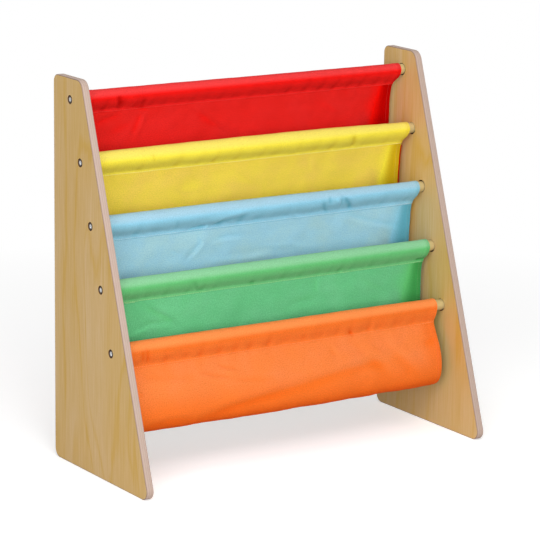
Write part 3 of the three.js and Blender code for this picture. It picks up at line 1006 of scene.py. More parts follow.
    def relieved(self, shelf: "Shelf", way: Stretch, columns: np.ndarray) -> np.ndarray:
        """The middle surface of the cloth, with all its relief.

        With d its distance from the dowel's axis, the cloth is moved out by
        give * log(1 + exp((wanted - d) / give)), so that it clears the dowel softly.

        Args:
            shelf: The shelf, for the dowel's place and the next sling.
            way: The cloth's smooth way.
            columns: Places across.

        Returns:
            Places in metres, as rows by columns by three.
        """
        left, right = self.span()
        middle, half = (left + right) / 2, (right - left) / 2
        across = middle + (columns - middle)[None, :] * (1 - way.inset / half)
        folds, fine, lift = (np.zeros(across.shape) for _ in range(3))
        following = shelf.slings[min(self.tier + 1, len(shelf.slings) - 1)]
        for sling, share, drop in (
            (self, way.own, -way.up),
            (following, way.next, -way.up - shelf.tier_drop),
        ):
            folds = folds + share * sling.folds(across, drop)
            fine = fine + share * way.detail * sling.fine(across, drop)
            lift = lift + share * sling.lift(across, drop)
        axis = shelf.dowel_axis(self.tier)
        forward = way.forward + folds + fine * np.cos(way.lean)
        up = way.up + lift + fine * np.sin(way.lean)
        away = np.hypot(forward, up)
        give, wanted = self.sizes.give, shelf.dowel_radius(self.tier) + self.sizes.clearance
        push = 1 + give * np.logaddexp(0, (wanted - away) / give) / away
        return np.stack([across, axis.y - forward * push, axis.z + up * push], axis=-1)

    def hang(self, shelf: "Shelf") -> bpy.types.Object:
        """Args:
            shelf: The shelf.

        Returns:
            The cloth.
        """
        sizes, columns = self.sizes, self.columns()
        curve = smooth_curve(self.way(shelf))
        lengths = arc_lengths(curve[:, :2])
        rows = along_curve(curve, lengths, self.row_lengths(lengths[-1]))
        way = self.flap_and_sleeve(columns).then(Stretch.of_curve(rows[1:], len(columns)))
        surface = self.relieved(shelf, way, columns)
        normal = unit(np.cross(np.gradient(surface, axis=0), np.gradient(surface, axis=1)))
        left, right = columns[0], columns[-1]
        from_end = np.minimum(columns - left, right - columns)
        soft = sizes.hem_soft * sizes.hem
        hem = 1 - smooth_step(from_end, sizes.hem - soft, sizes.hem + soft)
        taper = np.ones((len(surface), 1, 1))
        taper[: len(sizes.flap_taper), 0, 0] = sizes.flap_taper
        half = taper * (sizes.thickness / 2 + sizes.hem_fold * hem)[None, :, None]
        walked = np.linalg.norm(np.diff(surface, axis=0), axis=-1).mean(axis=1)
        walked = np.concatenate([[0.0], np.cumsum(walked)])
        piece = self.shell(surface + half * normal, surface - half * normal)
        flat = np.stack(np.broadcast_arrays(columns[None, :], walked[:, None]), axis=-1)
        # Besides the real double layers, this mark carries painted shade near the right end and painted
        # light low on the wall.
        shaded = self.shaded(way, right - columns[None, :])
        layers = np.where(way.layers > 0, np.maximum(way.layers, shaded), shaded)
        # Painted shade in the crease hollows: the mark rises towards the hem colour where the creases sink.
        hollow = way.own * self.sewn(surface[:, :, 0], -way.up)
        layers = np.minimum(layers + np.clip(-hollow / sizes.hollow, 0, 1), 2)
        # Painted highlight: the crown mark is 1 where the sleeve leans upwards.
        crown = smooth_step(np.degrees(way.lean), *sizes.painted_highlight_lean)
        crown[SLEEVE_ROWS:] = 0
        self.map_flat(piece, flat)
        mark_points(piece, LAYERS_AND_SHADE, np.tile(layers.ravel(), 2))
        mark_points(piece, PAINTED_HIGHLIGHT, np.tile(crown.ravel(), 2))
        dress(piece, self.slot, self.cloth.material(), node=self.node, sharp=65)
        stitches = self.sew(surface, normal, half, way)
        size = (right - left, float(walked[-1]))
        log.info("%s: %d faces, cut %.3f by %.3f m", piece.name, len(piece.data.polygons), *size)
        return piece

    def shaded(self, way: Stretch, from_end: np.ndarray) -> np.ndarray:
        """The mark of layers: 0 where one layer hangs free, 1 where the cloth looks double and
        2 at a hem.

        Near the right end the mark is partly the real hem and partly painted shade, where the cloth
        turns back away from the light; it falls with the distance from the right end, and sooner on
        the sleeve. Low on the wall it goes down to -1: painted light that makes the cloth paler
        against the shade of the next sleeve.

        Args:
            way: The cloth's smooth way.
            from_end: Distances of the columns from the right end.

        Returns:
            The mark at each place.
        """
        sizes = self.sizes
        low = smooth_step(-way.up, sizes.seam_drop, sizes.low_drop)
        away = from_end / (sizes.hem * (1 + sizes.end_shade_spread * low))
        shaded, sleeve = (
            2 - sum(smooth_step(away, *fade) for fade in fades)
            for fades in (sizes.end_shade_fades, sizes.sleeve_end_shade_fades)
        )
        # Painted light low on the wall makes the mark fall below 0 there.
        shaded = shaded - smooth_step(-way.up, *sizes.low_wall_painted_light) * (1 - np.clip(shaded, 0, 1))
        shaded[:SLEEVE_ROWS] = sizes.sleeve_end_shade * sleeve[:SLEEVE_ROWS]
        return shaded

    def row_lengths(self, total: float) -> np.ndarray:
        """Lengths along the way for the rows: close on the visible part, then wider."""
        close, wide = self.rows
        beyond = np.linspace(self.shown, total, wide)
        return np.concatenate([np.linspace(0, self.shown, close), beyond[1:]])

    def shell(self, front: np.ndarray, back: np.ndarray) -> bpy.types.Object:
        """A closed mesh between two grids of points with the same rows and columns."""
        rows, columns = front.shape[:2]
        count = rows * columns
        index = np.arange(count).reshape(rows, columns)
        rim = np.concatenate([index[:-1, 0], index[-1, :-1], index[:0:-1, -1], index[0, :0:-1]])
        onward = np.roll(rim, -1)
        faces = [
            grid_quads(rows, columns),
            grid_quads(rows, columns, first=count)[:, ::-1],
            np.stack([rim, rim + count, onward + count, onward], axis=1),
        ]
        points = np.concatenate([front.reshape(-1, 3), back.reshape(-1, 3)])
        return make_piece(f"cloth_{self.colour}", points, faces)

    @staticmethod
    def map_flat(piece: bpy.types.Object, flat: np.ndarray) -> None:
        """Gives both faces of a shell their flat map."""
        mesh = piece.data
        both = np.tile(flat.reshape(-1, 2), (2, 1))
        corners = np.empty(len(mesh.loops), np.int32)
        mesh.loops.foreach_get("vertex_index", corners)
        uv = mesh.uv_layers.new(name=FLAT_MAP)
        uv.data.foreach_set("uv", both[corners].astype(np.float32).ravel())

    def sew(
        self, surface: np.ndarray, normal: np.ndarray, half: np.ndarray, way: Stretch
    ) -> list[bpy.types.Object]:
        """Stitches along the seam and the two side hems, on both faces of the cloth.

        Args:
            surface: The cloth's middle surface.
            normal: Its normals.
            half: Half the cloth's thickness at each column.
            way: The cloth's smooth way.

        Returns:
            The pieces of stitching.
        """
        sizes = self.sizes
        columns = surface[0, :, 0]
        line = sizes.seam_drop + sizes.seam_line * self.flap
        below = np.abs(-way.up[:, 0] - line)
        seam_row = int(np.argmin(below[: len(sizes.flap_rise)]))
        wall_row = SLEEVE_ROWS + int(np.argmin(below[SLEEVE_ROWS : SLEEVE_ROWS + 12]))
        seam_lines = [
            (surface[row] - half[row] * normal[row], -normal[row]) for row in (seam_row, wall_row)
        ]
        hem_lines = []
        for end in (columns[0] + sizes.hem_line, columns[-1] - sizes.hem_line):
            column = int(np.argmin(np.abs(columns - end)))
            for sign in (1, -1):
                outward = sign * normal[SLEEVE_ROWS:, column]
                hem_lines.append((surface[SLEEVE_ROWS:, column] + half[-1, column] * outward, outward))
        dye = self.cloth
        muted = tuple(0.9 * hem + 0.1 * thread for hem, thread in zip(dye.hem, dye.thread))
        made = []
        for name, lines, colour in (("seam", seam_lines, dye.thread), ("hem", hem_lines, muted)):
            piece = stitching(f"{name}_stitches_{self.colour}", lines, sizes.stitch_pitch)
            dress(piece, self.slot, dye.thread_material(name, colour))
            made.append(piece)
        if self.loose_end:
            made.append(self.leave_end(surface, normal, made[0]))
        return made

    def leave_end(
        self, surface: np.ndarray, normal: np.ndarray, seam: bpy.types.Object
    ) -> bpy.types.Object:
        """The end of the seam's thread, left lying on the wall: beads so close that they join.

        Args:
            surface: The cloth's middle surface.
            normal: Its normals.
            seam: The seam's stitches, for their material.

        Returns:
            The piece.
        """
        sizes, below_seam = self.sizes, slice(SLEEVE_ROWS, SLEEVE_ROWS + 20)
        curve, wall = smooth_curve(np.array(self.loose_end)), surface[below_seam]
        axis = wall[0, 0, 2] + sizes.seam_drop
        columns = np.argmin(np.abs(wall[0, :, 0] - curve[:, :1]), axis=1)
        rows = np.argmin(np.abs(axis - wall[:, 0, 2] - curve[:, 1:]), axis=1)
        above = normal[below_seam][rows, columns]
        line = wall[rows, columns] + (sizes.thickness / 2 + sizes.flap_lift) * above
        line[:, 0], line[:, 2] = curve[:, 0], axis - curve[:, 1]
        piece = stitching(f"loose_thread_{self.colour}", [(line, above)], sizes.loose_pitch, 0.8)
        dress(piece, self.slot, seam.data.materials[0])
        return piece


@dataclass(frozen=True)
class LiningSling(Sling):
    """The last hanging sling. Below its wall it lines the belly sling from the inside, from
    start along the belly's way and drawn in by inset at both ends."""

    inset: float = 14 * MM
    start: float = 7 * MM
    nodes: int = 22

    def way(self, shelf: "Shelf") -> np.ndarray:
        """Down the wall, then along the belly's way one layer further in, from behind the
        pocket round to just below the belly sling's seam."""
        belly = shelf.slings[self.tier + 1].belly_curve()
        places, lean = belly[:, :2], belly[:, 4]
        inward = -np.stack([np.cos(lean), np.sin(lean)], axis=1)
        inside = places + self.sizes.layer_pitch * inward
        lining = np.concatenate([inside, belly[:, 2:]], axis=1)
        lengths = arc_lengths(inside)
        wanted = np.linspace(self.start, lengths[-1], self.nodes)
        lining = along_curve(lining, lengths, wanted)[::-1]
        shift = np.array([shelf.tier_advance, -shelf.tier_drop])
        nodes = np.zeros((len(lining), 7))
        nodes[:, :2] = lining[:, :2] + shift
        nodes[:, 3:6] = lining[:, [2, 4, 5]]
        nodes[:, 6] = self.inset
        wall = np.array(self.wall_nodes())
        wall[-1, 6] = self.inset / 2
        nodes[0, 4] = -math.pi
        return np.concatenate([wall, nodes])


@dataclass(frozen=True)
class BellySling(Sling):
    """The lowest sling, whose cloth runs forward of its dowel in a belly, under the last
    pocket and up behind it to a hem. front and rear are places on the belly, as shares of how
    far it reaches and of its drop. lined says by how much the cloth's painted shade rises
    between two shares of the drop: darker towards the belly's bottom, where the lining lies
    behind, and mostly painted shade on the underside."""

    shown: float = 135 * MM
    rows: tuple[int, int] = (72, 16)
    nodes: int = 40
    near_seam: int = 60
    reach_front: float = 31.5 * MM
    reach_back: float = 51 * MM
    deepest: float = 133.5 * MM
    seam_forward: float = 4 * MM
    end_lift: float = 3.7 * MM
    painted_under_shade: tuple = ((0.9, 0.45, 0.8), (1.1, 0.78, 0.97))
    end_shade_share: float = 0.35
    front: tuple = ((0.51, 0.353), (0.844, 0.51), (1, 0.675), (0.966, 0.812), (0.69, 0.92))
    rear: tuple = (
        (-0.06, 0.986), (0.3, 1), (0.66, 0.966), (0.89, 0.862), (1, 0.715), (0.97, 0.56),
    )

    def lift(self, across: np.ndarray, drop: np.ndarray) -> np.ndarray:
        """The belly hangs higher to the left, by the square of the share of its half width."""
        left, right = self.span()
        share = np.maximum(0, -2 * across / (right - left))
        growth = smooth_step(drop, self.sizes.seam_drop, self.sizes.seam_drop + self.sizes.fold_fade)
        return growth * self.end_lift * share * share

    def belly_curve(self) -> np.ndarray:
        """The belly from its seam round to its hem behind the pocket, finely divided.

        Returns:
            Rows of forward, up, own, next, lean, detail and inset. The lean is square to the
            way, and the detail is gone where the belly faces back.
        """
        half = self.sizes.solid_thickness / 2
        lowest = self.deepest - half
        places = [[self.seam_forward - half, -self.sizes.seam_drop]]
        places += [[(self.reach_front - half) * r, -lowest * d] for r, d in self.front]
        places += [[-(self.reach_back - half) * r, -lowest * d] for r, d in self.rear]
        curve = smooth_curve(np.array(places))
        step = np.gradient(curve, axis=0)
        lean = np.unwrap(np.arctan2(step[:, 1], step[:, 0])) + math.pi / 2
        lean = lean - TURN * np.round(lean[0] / TURN)
        detail = smooth_step(np.cos(lean), -0.6, 0.2)
        one, none = np.ones(len(curve)), np.zeros(len(curve))
        return np.stack([curve[:, 0], curve[:, 1], one, none, lean, detail, none], axis=1)

    def wall_back(self, drop: float) -> float:
        """How far behind the dowel's axis the middle of the belly's cloth lies near its seam."""
        curve = self.belly_curve()[: self.near_seam]
        return -float(np.interp(drop, -curve[:, 1], curve[:, 0]))

    def way(self, shelf: "Shelf") -> np.ndarray:
        """Nodes along the belly, as rows for Stretch.of_curve."""
        curve = self.belly_curve()
        lengths = arc_lengths(curve[:, :2])
        return along_curve(curve, lengths, np.linspace(0, lengths[-1], self.nodes))

    def shaded(self, way: Stretch, from_end: np.ndarray) -> np.ndarray:
        """As on the other slings, and towards the belly's bottom doubled and darker: partly the
        lining behind it, and mostly painted shade on the underside.
        """
        share = -way.up / self.deepest
        under = sum(more * smooth_step(share, low, high) for more, low, high in self.painted_under_shade)
        return np.maximum(self.end_shade_share * super().shaded(way, from_end), under)


def stitching(
    name: str, lines: list[tuple[np.ndarray, np.ndarray]], pitch: float, reach: float = 0.38
) -> bpy.types.Object:
    """A row of stitches along each of several lines.

    A stitch is half a stretched bead: at an angle u round and v along it lies at
    length*sin v along the line, width*cos v*cos u beside it and height*cos v*sin u above it.

    Args:
        name: The piece's name.
        lines: Pairs of the points of a line and the normals there.
        pitch: Distance from one stitch to the next.
        reach: Half a stitch's length, as a share of the pitch.

    Returns:
        The piece.
    """
    length, width, height, rise = reach * pitch, 0.42 * MM, 0.34 * MM, 0.10 * MM
    sides = 6
    u, v = angles_around(sides), np.linspace(-math.pi / 2, math.pi / 2, sides)[:, None]
    bead = [length * np.sin(v) + 0 * u, width * np.cos(v) * np.cos(u)]
    bead = np.stack([*bead, height * np.cos(v) * np.sin(u) + rise], axis=-1).reshape(-1, 3)
    points, faces = [], []
    quads = grid_quads(sides, sides, around=True)
    made = 0
    for line, normals in lines:
        lengths = arc_lengths(line)
        middles = np.arange(pitch, lengths[-1] - pitch / 2, pitch)
        centre = along_curve(line, lengths, middles)
        ahead = unit(along_curve(line, lengths, middles + pitch / 4) - centre)
        beside = unit(np.cross(along_curve(normals, lengths, middles), ahead))
        axes = np.stack([ahead, beside, np.cross(ahead, beside)], axis=1)
        points.append((centre[:, None] + bead @ axes).reshape(-1, 3))
        starts = made + len(bead) * np.arange(len(centre))
        faces.append((starts[:, None, None] + quads[None]).reshape(-1, 4))
        made += len(bead) * len(centre)
    piece = make_piece(name, np.concatenate(points), [np.concatenate(faces)])
    weld(piece)
    return piece


# Panels, dowels and bolts

@dataclass(frozen=True)
class Panel:
    """A side panel of plywood. Its front edge leans back by rake of its height. socket_play is
    how far the middle of each socket lies above its dowel's."""

    side: str
    rake: float = 1 / 3
    front_foot: float = 14 * MM
    back_foot: float = 14 * MM
    back_top: float = 12 * MM
    front_top: float = 17 * MM
    edge_round: float = 1.2 * MM
    socket_radius: float = 9.6 * MM
    socket_play: tuple = (-0.2 * MM, -0.75 * MM, 0.75 * MM, -0.8 * MM, -0.5 * MM)
    socket_depth: float = 4.5 * MM
    bolt_hole: float = 3.3 * MM
    counterbore: float = 6.5 * MM
    counterbore_depth: float = 3.4 * MM
    rim_round: float = 0.35 * MM
    corner_steps: int = 20
    edge_steps: int = 5
    hole_steps: int = 48

    @property
    def node(self) -> str:
        """The name of the solid that the panel stands for."""
        return f"{self.side}_panel"

    def outline(self, inset: float) -> np.ndarray:
        """The panel's outline in depth and height, drawn in by an inset.

        Each corner is an arc about the point where its two edges, moved in by the corner's
        radius, meet, and an inset makes the arc's radius smaller by the same amount.

        Args:
            inset: How far inside the real outline.

        Returns:
            Points, one row each, in order round the panel.
        """
        low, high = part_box(self.node)
        slope = math.atan(self.rake)
        overhang = self.front_foot * ((1 + math.sin(slope)) / math.cos(slope) - 1)
        foot = low.y - overhang
        top = foot + (high.z - low.z) * self.rake
        corners = np.array([[foot, low.z], [high.y, low.z], [high.y, high.z], [top, high.z]])
        radii = [self.front_foot, self.back_foot, self.back_top, self.front_top]
        points = []
        for i, radius in enumerate(radii):
            before, after = unit(corners[i - 1] - corners[i]), unit(corners[(i + 1) % 4] - corners[i])
            half = math.acos(float(before @ after)) / 2
            centre = corners[i] + unit(before + after) * radius / math.sin(half)
            start = corners[i] + before * radius / math.tan(half) - centre
            first = math.atan2(start[1], start[0])
            angles = first + np.linspace(0, math.pi - 2 * half, self.corner_steps + 1)
            ring = np.stack([np.cos(angles), np.sin(angles)], axis=1)
            points.append(centre + (radius - inset) * ring)
        return np.concatenate(points)

    def build(self, shelf: "Shelf") -> bpy.types.Object:
        """Makes the panel: its rounded edge, its two faces and the holes between them.

        Args:
            shelf: The shelf, for the places of the dowels.

        Returns:
            The panel.
        """
        low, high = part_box(self.node)
        sign = -1 if self.side == "left" else 1
        inner, outer = (low.x, high.x) if sign > 0 else (high.x, low.x)
        turn = np.linspace(0, math.pi / 2, self.edge_steps + 1)
        insets = self.edge_round * (1 - np.sin(turn))
        depths = self.edge_round * (1 - np.cos(turn))
        rings = [(inner + sign * d, i) for d, i in zip(depths, insets)]
        rings += [(outer - sign * d, i) for d, i in zip(depths[::-1], insets[::-1])]
        edge = np.stack([self.flat_ring(x, self.outline(i)) for x, i in rings])
        rows, count = edge.shape[:2]
        points, faces = [edge.reshape(-1, 3)], [grid_quads(rows, count, around=True)]
        used = rows * count
        holes = [self.hole(shelf, tier, inner, outer, sign) for tier in range(shelf.tiers)]
        for hole in holes:
            points.append(hole.reshape(-1, 3))
            faces.append(grid_quads(*hole.shape[:2], around=True, first=used))
            used += hole.shape[0] * hole.shape[1]
        edged, worked = len(faces[0]), sum(len(group) for group in faces)
        for end in (0, -1):
            loops = [edge[end], *(hole[end] for hole in holes)]
            flat = np.concatenate(loops)
            cut = tessellate_polygon([[Vector((y, z, 0)) for _, y, z in loop] for loop in loops])
            points.append(flat)
            faces.append(np.array(cut) + used)
            used += len(flat)
        piece = make_piece(f"plywood_panel_{self.side}", np.concatenate(points), faces)
        polygons = piece.data.polygons
        number = np.arange(len(polygons))
        finishes = np.where(number < edged, 1, np.where(number < worked, 2, 0))
        polygons.foreach_set("material_index", finishes.astype(np.int32))
        weld(piece)
        piece.data.set_sharp_from_angle(angle=math.radians(40))
        finishes = np.empty(len(polygons), np.int32)
        polygons.foreach_get("material_index", finishes)
        polygons.foreach_set("use_smooth", finishes > 0)
        ply = PlyEdge((inner + outer) / 2, abs(outer - inner)).material(f"ply_edge_{self.side}")
        dress(piece, "panel_plywood", shelf.veneer, ply, shelf.bored, node=self.node)
        return piece

    @staticmethod
    def flat_ring(x: float, outline: np.ndarray) -> np.ndarray:
        """An outline in depth and height, set at one place across."""
        return np.concatenate([np.full((len(outline), 1), x), outline], axis=1)

    def hole(self, shelf: "Shelf", tier: int, inner: float, outer: float, sign: int) -> np.ndarray:
        """The wall of a hole about a dowel's axis: a blind socket on the inner face, the bolt's
        hole, and the counterbore on the outer face, with both rims rounded. The dowel lies a
        little off the middle of its socket.

        Args:
            shelf: The shelf, for the dowel's axis.
            tier: The dowel's tier.
            inner: Where the inner face lies across.
            outer: Where the outer face lies across.
            sign: 1 on the right panel and -1 on the left one.

        Returns:
            Rings of points from the inner face to the outer one.
        """
        rim, soft = self.rim_round, 0.3 * self.rim_round
        profile = [
            (inner, self.socket_radius + rim),
            (inner + sign * soft, self.socket_radius + soft),
            (inner + sign * rim, self.socket_radius),
            (inner + sign * self.socket_depth, self.socket_radius),
            (inner + sign * self.socket_depth, self.bolt_hole),
            (outer - sign * self.counterbore_depth, self.bolt_hole),
            (outer - sign * self.counterbore_depth, self.counterbore),
            (outer - sign * rim, self.counterbore),
            (outer - sign * soft, self.counterbore + soft),
            (outer, self.counterbore + rim),
        ]
        rings = lathe(profile, shelf.dowel_axis(tier), self.hole_steps)
        socket_rings = 4
        rings[:socket_rings, :, 2] += self.socket_play[tier]
        return rings


def lathe(profile: list[tuple[float, float]], axis: Vector, steps: int) -> np.ndarray:
    """Rings about an axis that runs across: one for each place across and radius of a profile."""
    across, radius = (np.array(values)[:, None] for values in zip(*profile))
    return about_axis(across, radius, angles_around(steps), axis)


def about_axis(
    across: np.ndarray, radius: np.ndarray, angles: np.ndarray, axis: Vector
) -> np.ndarray:
    """Places about an axis that runs across, by their place on it, radius and angle."""
    rings = [across, axis.y + radius * np.cos(angles), axis.z + radius * np.sin(angles)]
    return np.stack(np.broadcast_arrays(*rings), axis=-1)


@dataclass(frozen=True)
class Dowel:
    """A turned dowel, with a blind bore for the threaded insert in each end."""

    tier: int
    bore: float = 4.8 * MM
    bore_depth: float = 12.8 * MM
    chamfer: float = 0.8 * MM
    steps: int = 56

    def build(self, shelf: "Shelf") -> bpy.types.Object:
        """Turns the profile about the dowel's axis."""
        node = f"dowel_{self.tier + 1}"
        low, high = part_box(node)
        half, radius = (high.x - low.x) / 2, (high.z - low.z) / 2
        soft = 0.3 * self.chamfer
        end = [
            (half - self.bore_depth, 0.0), (half - self.bore_depth, self.bore), (half, self.bore),
            (half, radius - self.chamfer), (half - soft, radius - soft),
            (half - self.chamfer, radius), (half / 3, radius),
        ]
        profile = end + [(-across, away) for across, away in reversed(end)]
        rings = lathe(profile, shelf.dowel_axis(self.tier), self.steps)
        faces = [grid_quads(*rings.shape[:2], around=True)]
        piece = make_piece(shelf.dowel_name(self.tier), rings.reshape(-1, 3), faces)
        weld(piece)
        dress(piece, "dowel_wood", shelf.dowel_wood, node=node, sharp=50)
        return piece


@dataclass(frozen=True)
class Bolt:
    """A bolt with a domed head, a cross recess and a rolled thread. polished holds the radii
    between which the bright zinc in the middle of the head goes over to painted shade towards
    its rim, and each tier's bolt is turned on by next_turn."""

    side: str
    tier: int
    head_radius: float = 5.5 * MM
    shade_fade_radii: tuple = (1.7 * MM, 4.4 * MM)
    head_height: float = 2.6 * MM
    dome: float = 0.9 * MM
    flat_share: float = 0.6
    first_turn: float = 20
    next_turn: float = 37
    shank: float = 3 * MM
    length: float = 16 * MM
    thread_pitch: float = 1 * MM
    thread_depth: float = 0.42 * MM
    tip: float = 0.7 * MM
    slot_half: float = 0.75 * MM
    slot_reach: float = 3.2 * MM
    slot_depth: float = 1.5 * MM
    neck: float = 1.5 * MM
    rim_round: float = 0.25 * MM
    rim_height: float = 1.6 * MM
    steps: int = 64
    thread_rings: int = 88
    head_rings: int = 40

    def build(self, shelf: "Shelf") -> bpy.types.Object:
        """Makes the bolt as one surface of rings from its tip to the middle of its head.

        The thread's radius falls with the share of a turn that a place is away from the crest:
        shank - depth * 2|f - 1/2|, with f the fraction of along / pitch - angle / turn. The
        head's height is head_height - dome * s * s, with s the share of the way from its flat
        to its rim, less the recess: depth times the larger of two crossed slots.

        Args:
            shelf: The shelf, for the dowel's axis and the metal.

        Returns:
            The bolt.
        """
        node = f"bolt_{self.side}_{self.tier + 1}"
        low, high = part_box(node)
        sign = -1 if self.side == "left" else 1
        seat_x = (low.x if sign < 0 else high.x) - sign * self.head_height
        angles = angles_around(self.steps)
        rim, thin = self.head_radius, self.shank - self.tip - self.thread_depth
        along = np.linspace(-self.length + self.tip, -self.neck, self.thread_rings)[:, None]
        share = (along / self.thread_pitch - angles / TURN) % 1
        thread = self.shank - self.thread_depth * 2 * np.abs(share - 0.5)
        tip = ((-self.length, 0.0), (-self.length, thin))
        neck = (
            (-0.4 * self.neck, self.shank), (0, self.shank), (0, rim - self.rim_round),
            (self.rim_round, rim), (self.rim_height - 0.2 * MM, rim), (self.rim_height, rim),
        )
        crown = np.linspace(0.995, 0.0, self.head_rings)[:, None]
        bulge = np.clip((crown - self.flat_share) / (1 - self.flat_share), 0, 1)
        x, y = crown * rim * np.cos(angles), crown * rim * np.sin(angles)
        recess = np.maximum(self.slot(x, y), self.slot(y, x))
        top = self.head_height - self.dome * bulge * bulge - self.slot_depth * recess
        tip, neck = (np.array(places).T[:, :, None] for places in (tip, neck))
        bands = [tip, (along, thread), neck, (top, crown * rim)]
        height, radius = (np.concatenate([band[i] + 0 * angles for band in bands]) for i in (0, 1))
        turned = angles + math.radians(self.first_turn + self.next_turn * self.tier)
        points = about_axis(seat_x + sign * height, radius, turned, shelf.dowel_axis(self.tier))
        faces = [grid_quads(*points.shape[:2], around=True)]
        piece = make_piece(f"zinc_bolt_{self.side}_{self.tier + 1}", points.reshape(-1, 3), faces)
        # The mark is 1 on the head's bright middle and 0 towards its rim and below, where painted shade
        # takes over.
        mark_points(piece, PAINTED_SHADE_FADE, (1 - smooth_step(radius, *self.shade_fade_radii)) * (height > 0))
        weld(piece)
        dress(piece, "bolt_zinc", shelf.zinc, node=node, sharp=45)
        return piece

    def slot(self, along: np.ndarray, aside: np.ndarray) -> np.ndarray:
        """1 in the middle of a tapered slot along one direction, falling to 0 at its walls."""
        wide = 1 - smooth_step(np.abs(aside), 0.55 * self.slot_half, 1.25 * self.slot_half)
        far = 1 - smooth_step(np.abs(along), 0.35 * self.slot_reach, self.slot_reach)
        return wide * far


# The whole shelf

@dataclass
class Shelf:
    """The whole bookshelf: its sizes from the imported model's parts, and its pieces."""

    slings: list[Sling]
    tiers: int = 5

    def __post_init__(self) -> None:
        """Makes the finishes that several pieces share."""
        self.veneer = Veneer().material()
        self.dowel_wood = TurnedWood().material()
        self.bored = BoredWood().material()
        # Dark brown painted shade for the bolt heads' rims, where the counterbore's shadow falls.
        painted_shade = (0.075, 0.055, 0.042, 1)
        self.zinc = Metal("zinc_with_painted_shade", (0.58, 0.59, 0.60, 1), 0.3, painted_shade).material()
        self.steel = Metal("brushed_steel", (0.52, 0.53, 0.55, 1), 0.36).material()
        first, second = self.dowel_axis(0), self.dowel_axis(1)
        self.tier_drop = first.z - second.z
        self.tier_advance = first.y - second.y

    @staticmethod
    def dowel_axis(tier: int) -> Vector:
        """The middle of a dowel, counted from the top."""
        low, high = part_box(f"dowel_{tier + 1}")
        return (low + high) / 2

    @staticmethod
    def dowel_radius(tier: int) -> float:
        """A dowel's radius."""
        low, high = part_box(f"dowel_{tier + 1}")
        return (high.z - low.z) / 2

    @staticmethod
    def dowel_name(tier: int) -> str:
        """The name of the turned dowel of a tier."""
        return f"turned_dowel_{tier + 1}"

    def build(self) -> None:
        """Builds all the pieces, the wood and metal first."""
        for side in ("left", "right"):
            piece = Panel(side).build(self)
            log.info("%s: %d faces", piece.name, len(piece.data.polygons))
        for tier in range(self.tiers):
            Dowel(tier).build(self)
            for side in ("left", "right"):
                Bolt(side, tier).build(self)
                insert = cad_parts[f"insert_{side}_{tier + 1}"]
                insert.data.materials.clear()
                insert.data.materials.append(self.steel)
            log.info("tier %d: dowel and bolts", tier + 1)
        for sling in self.slings:
            sling.hang(self)


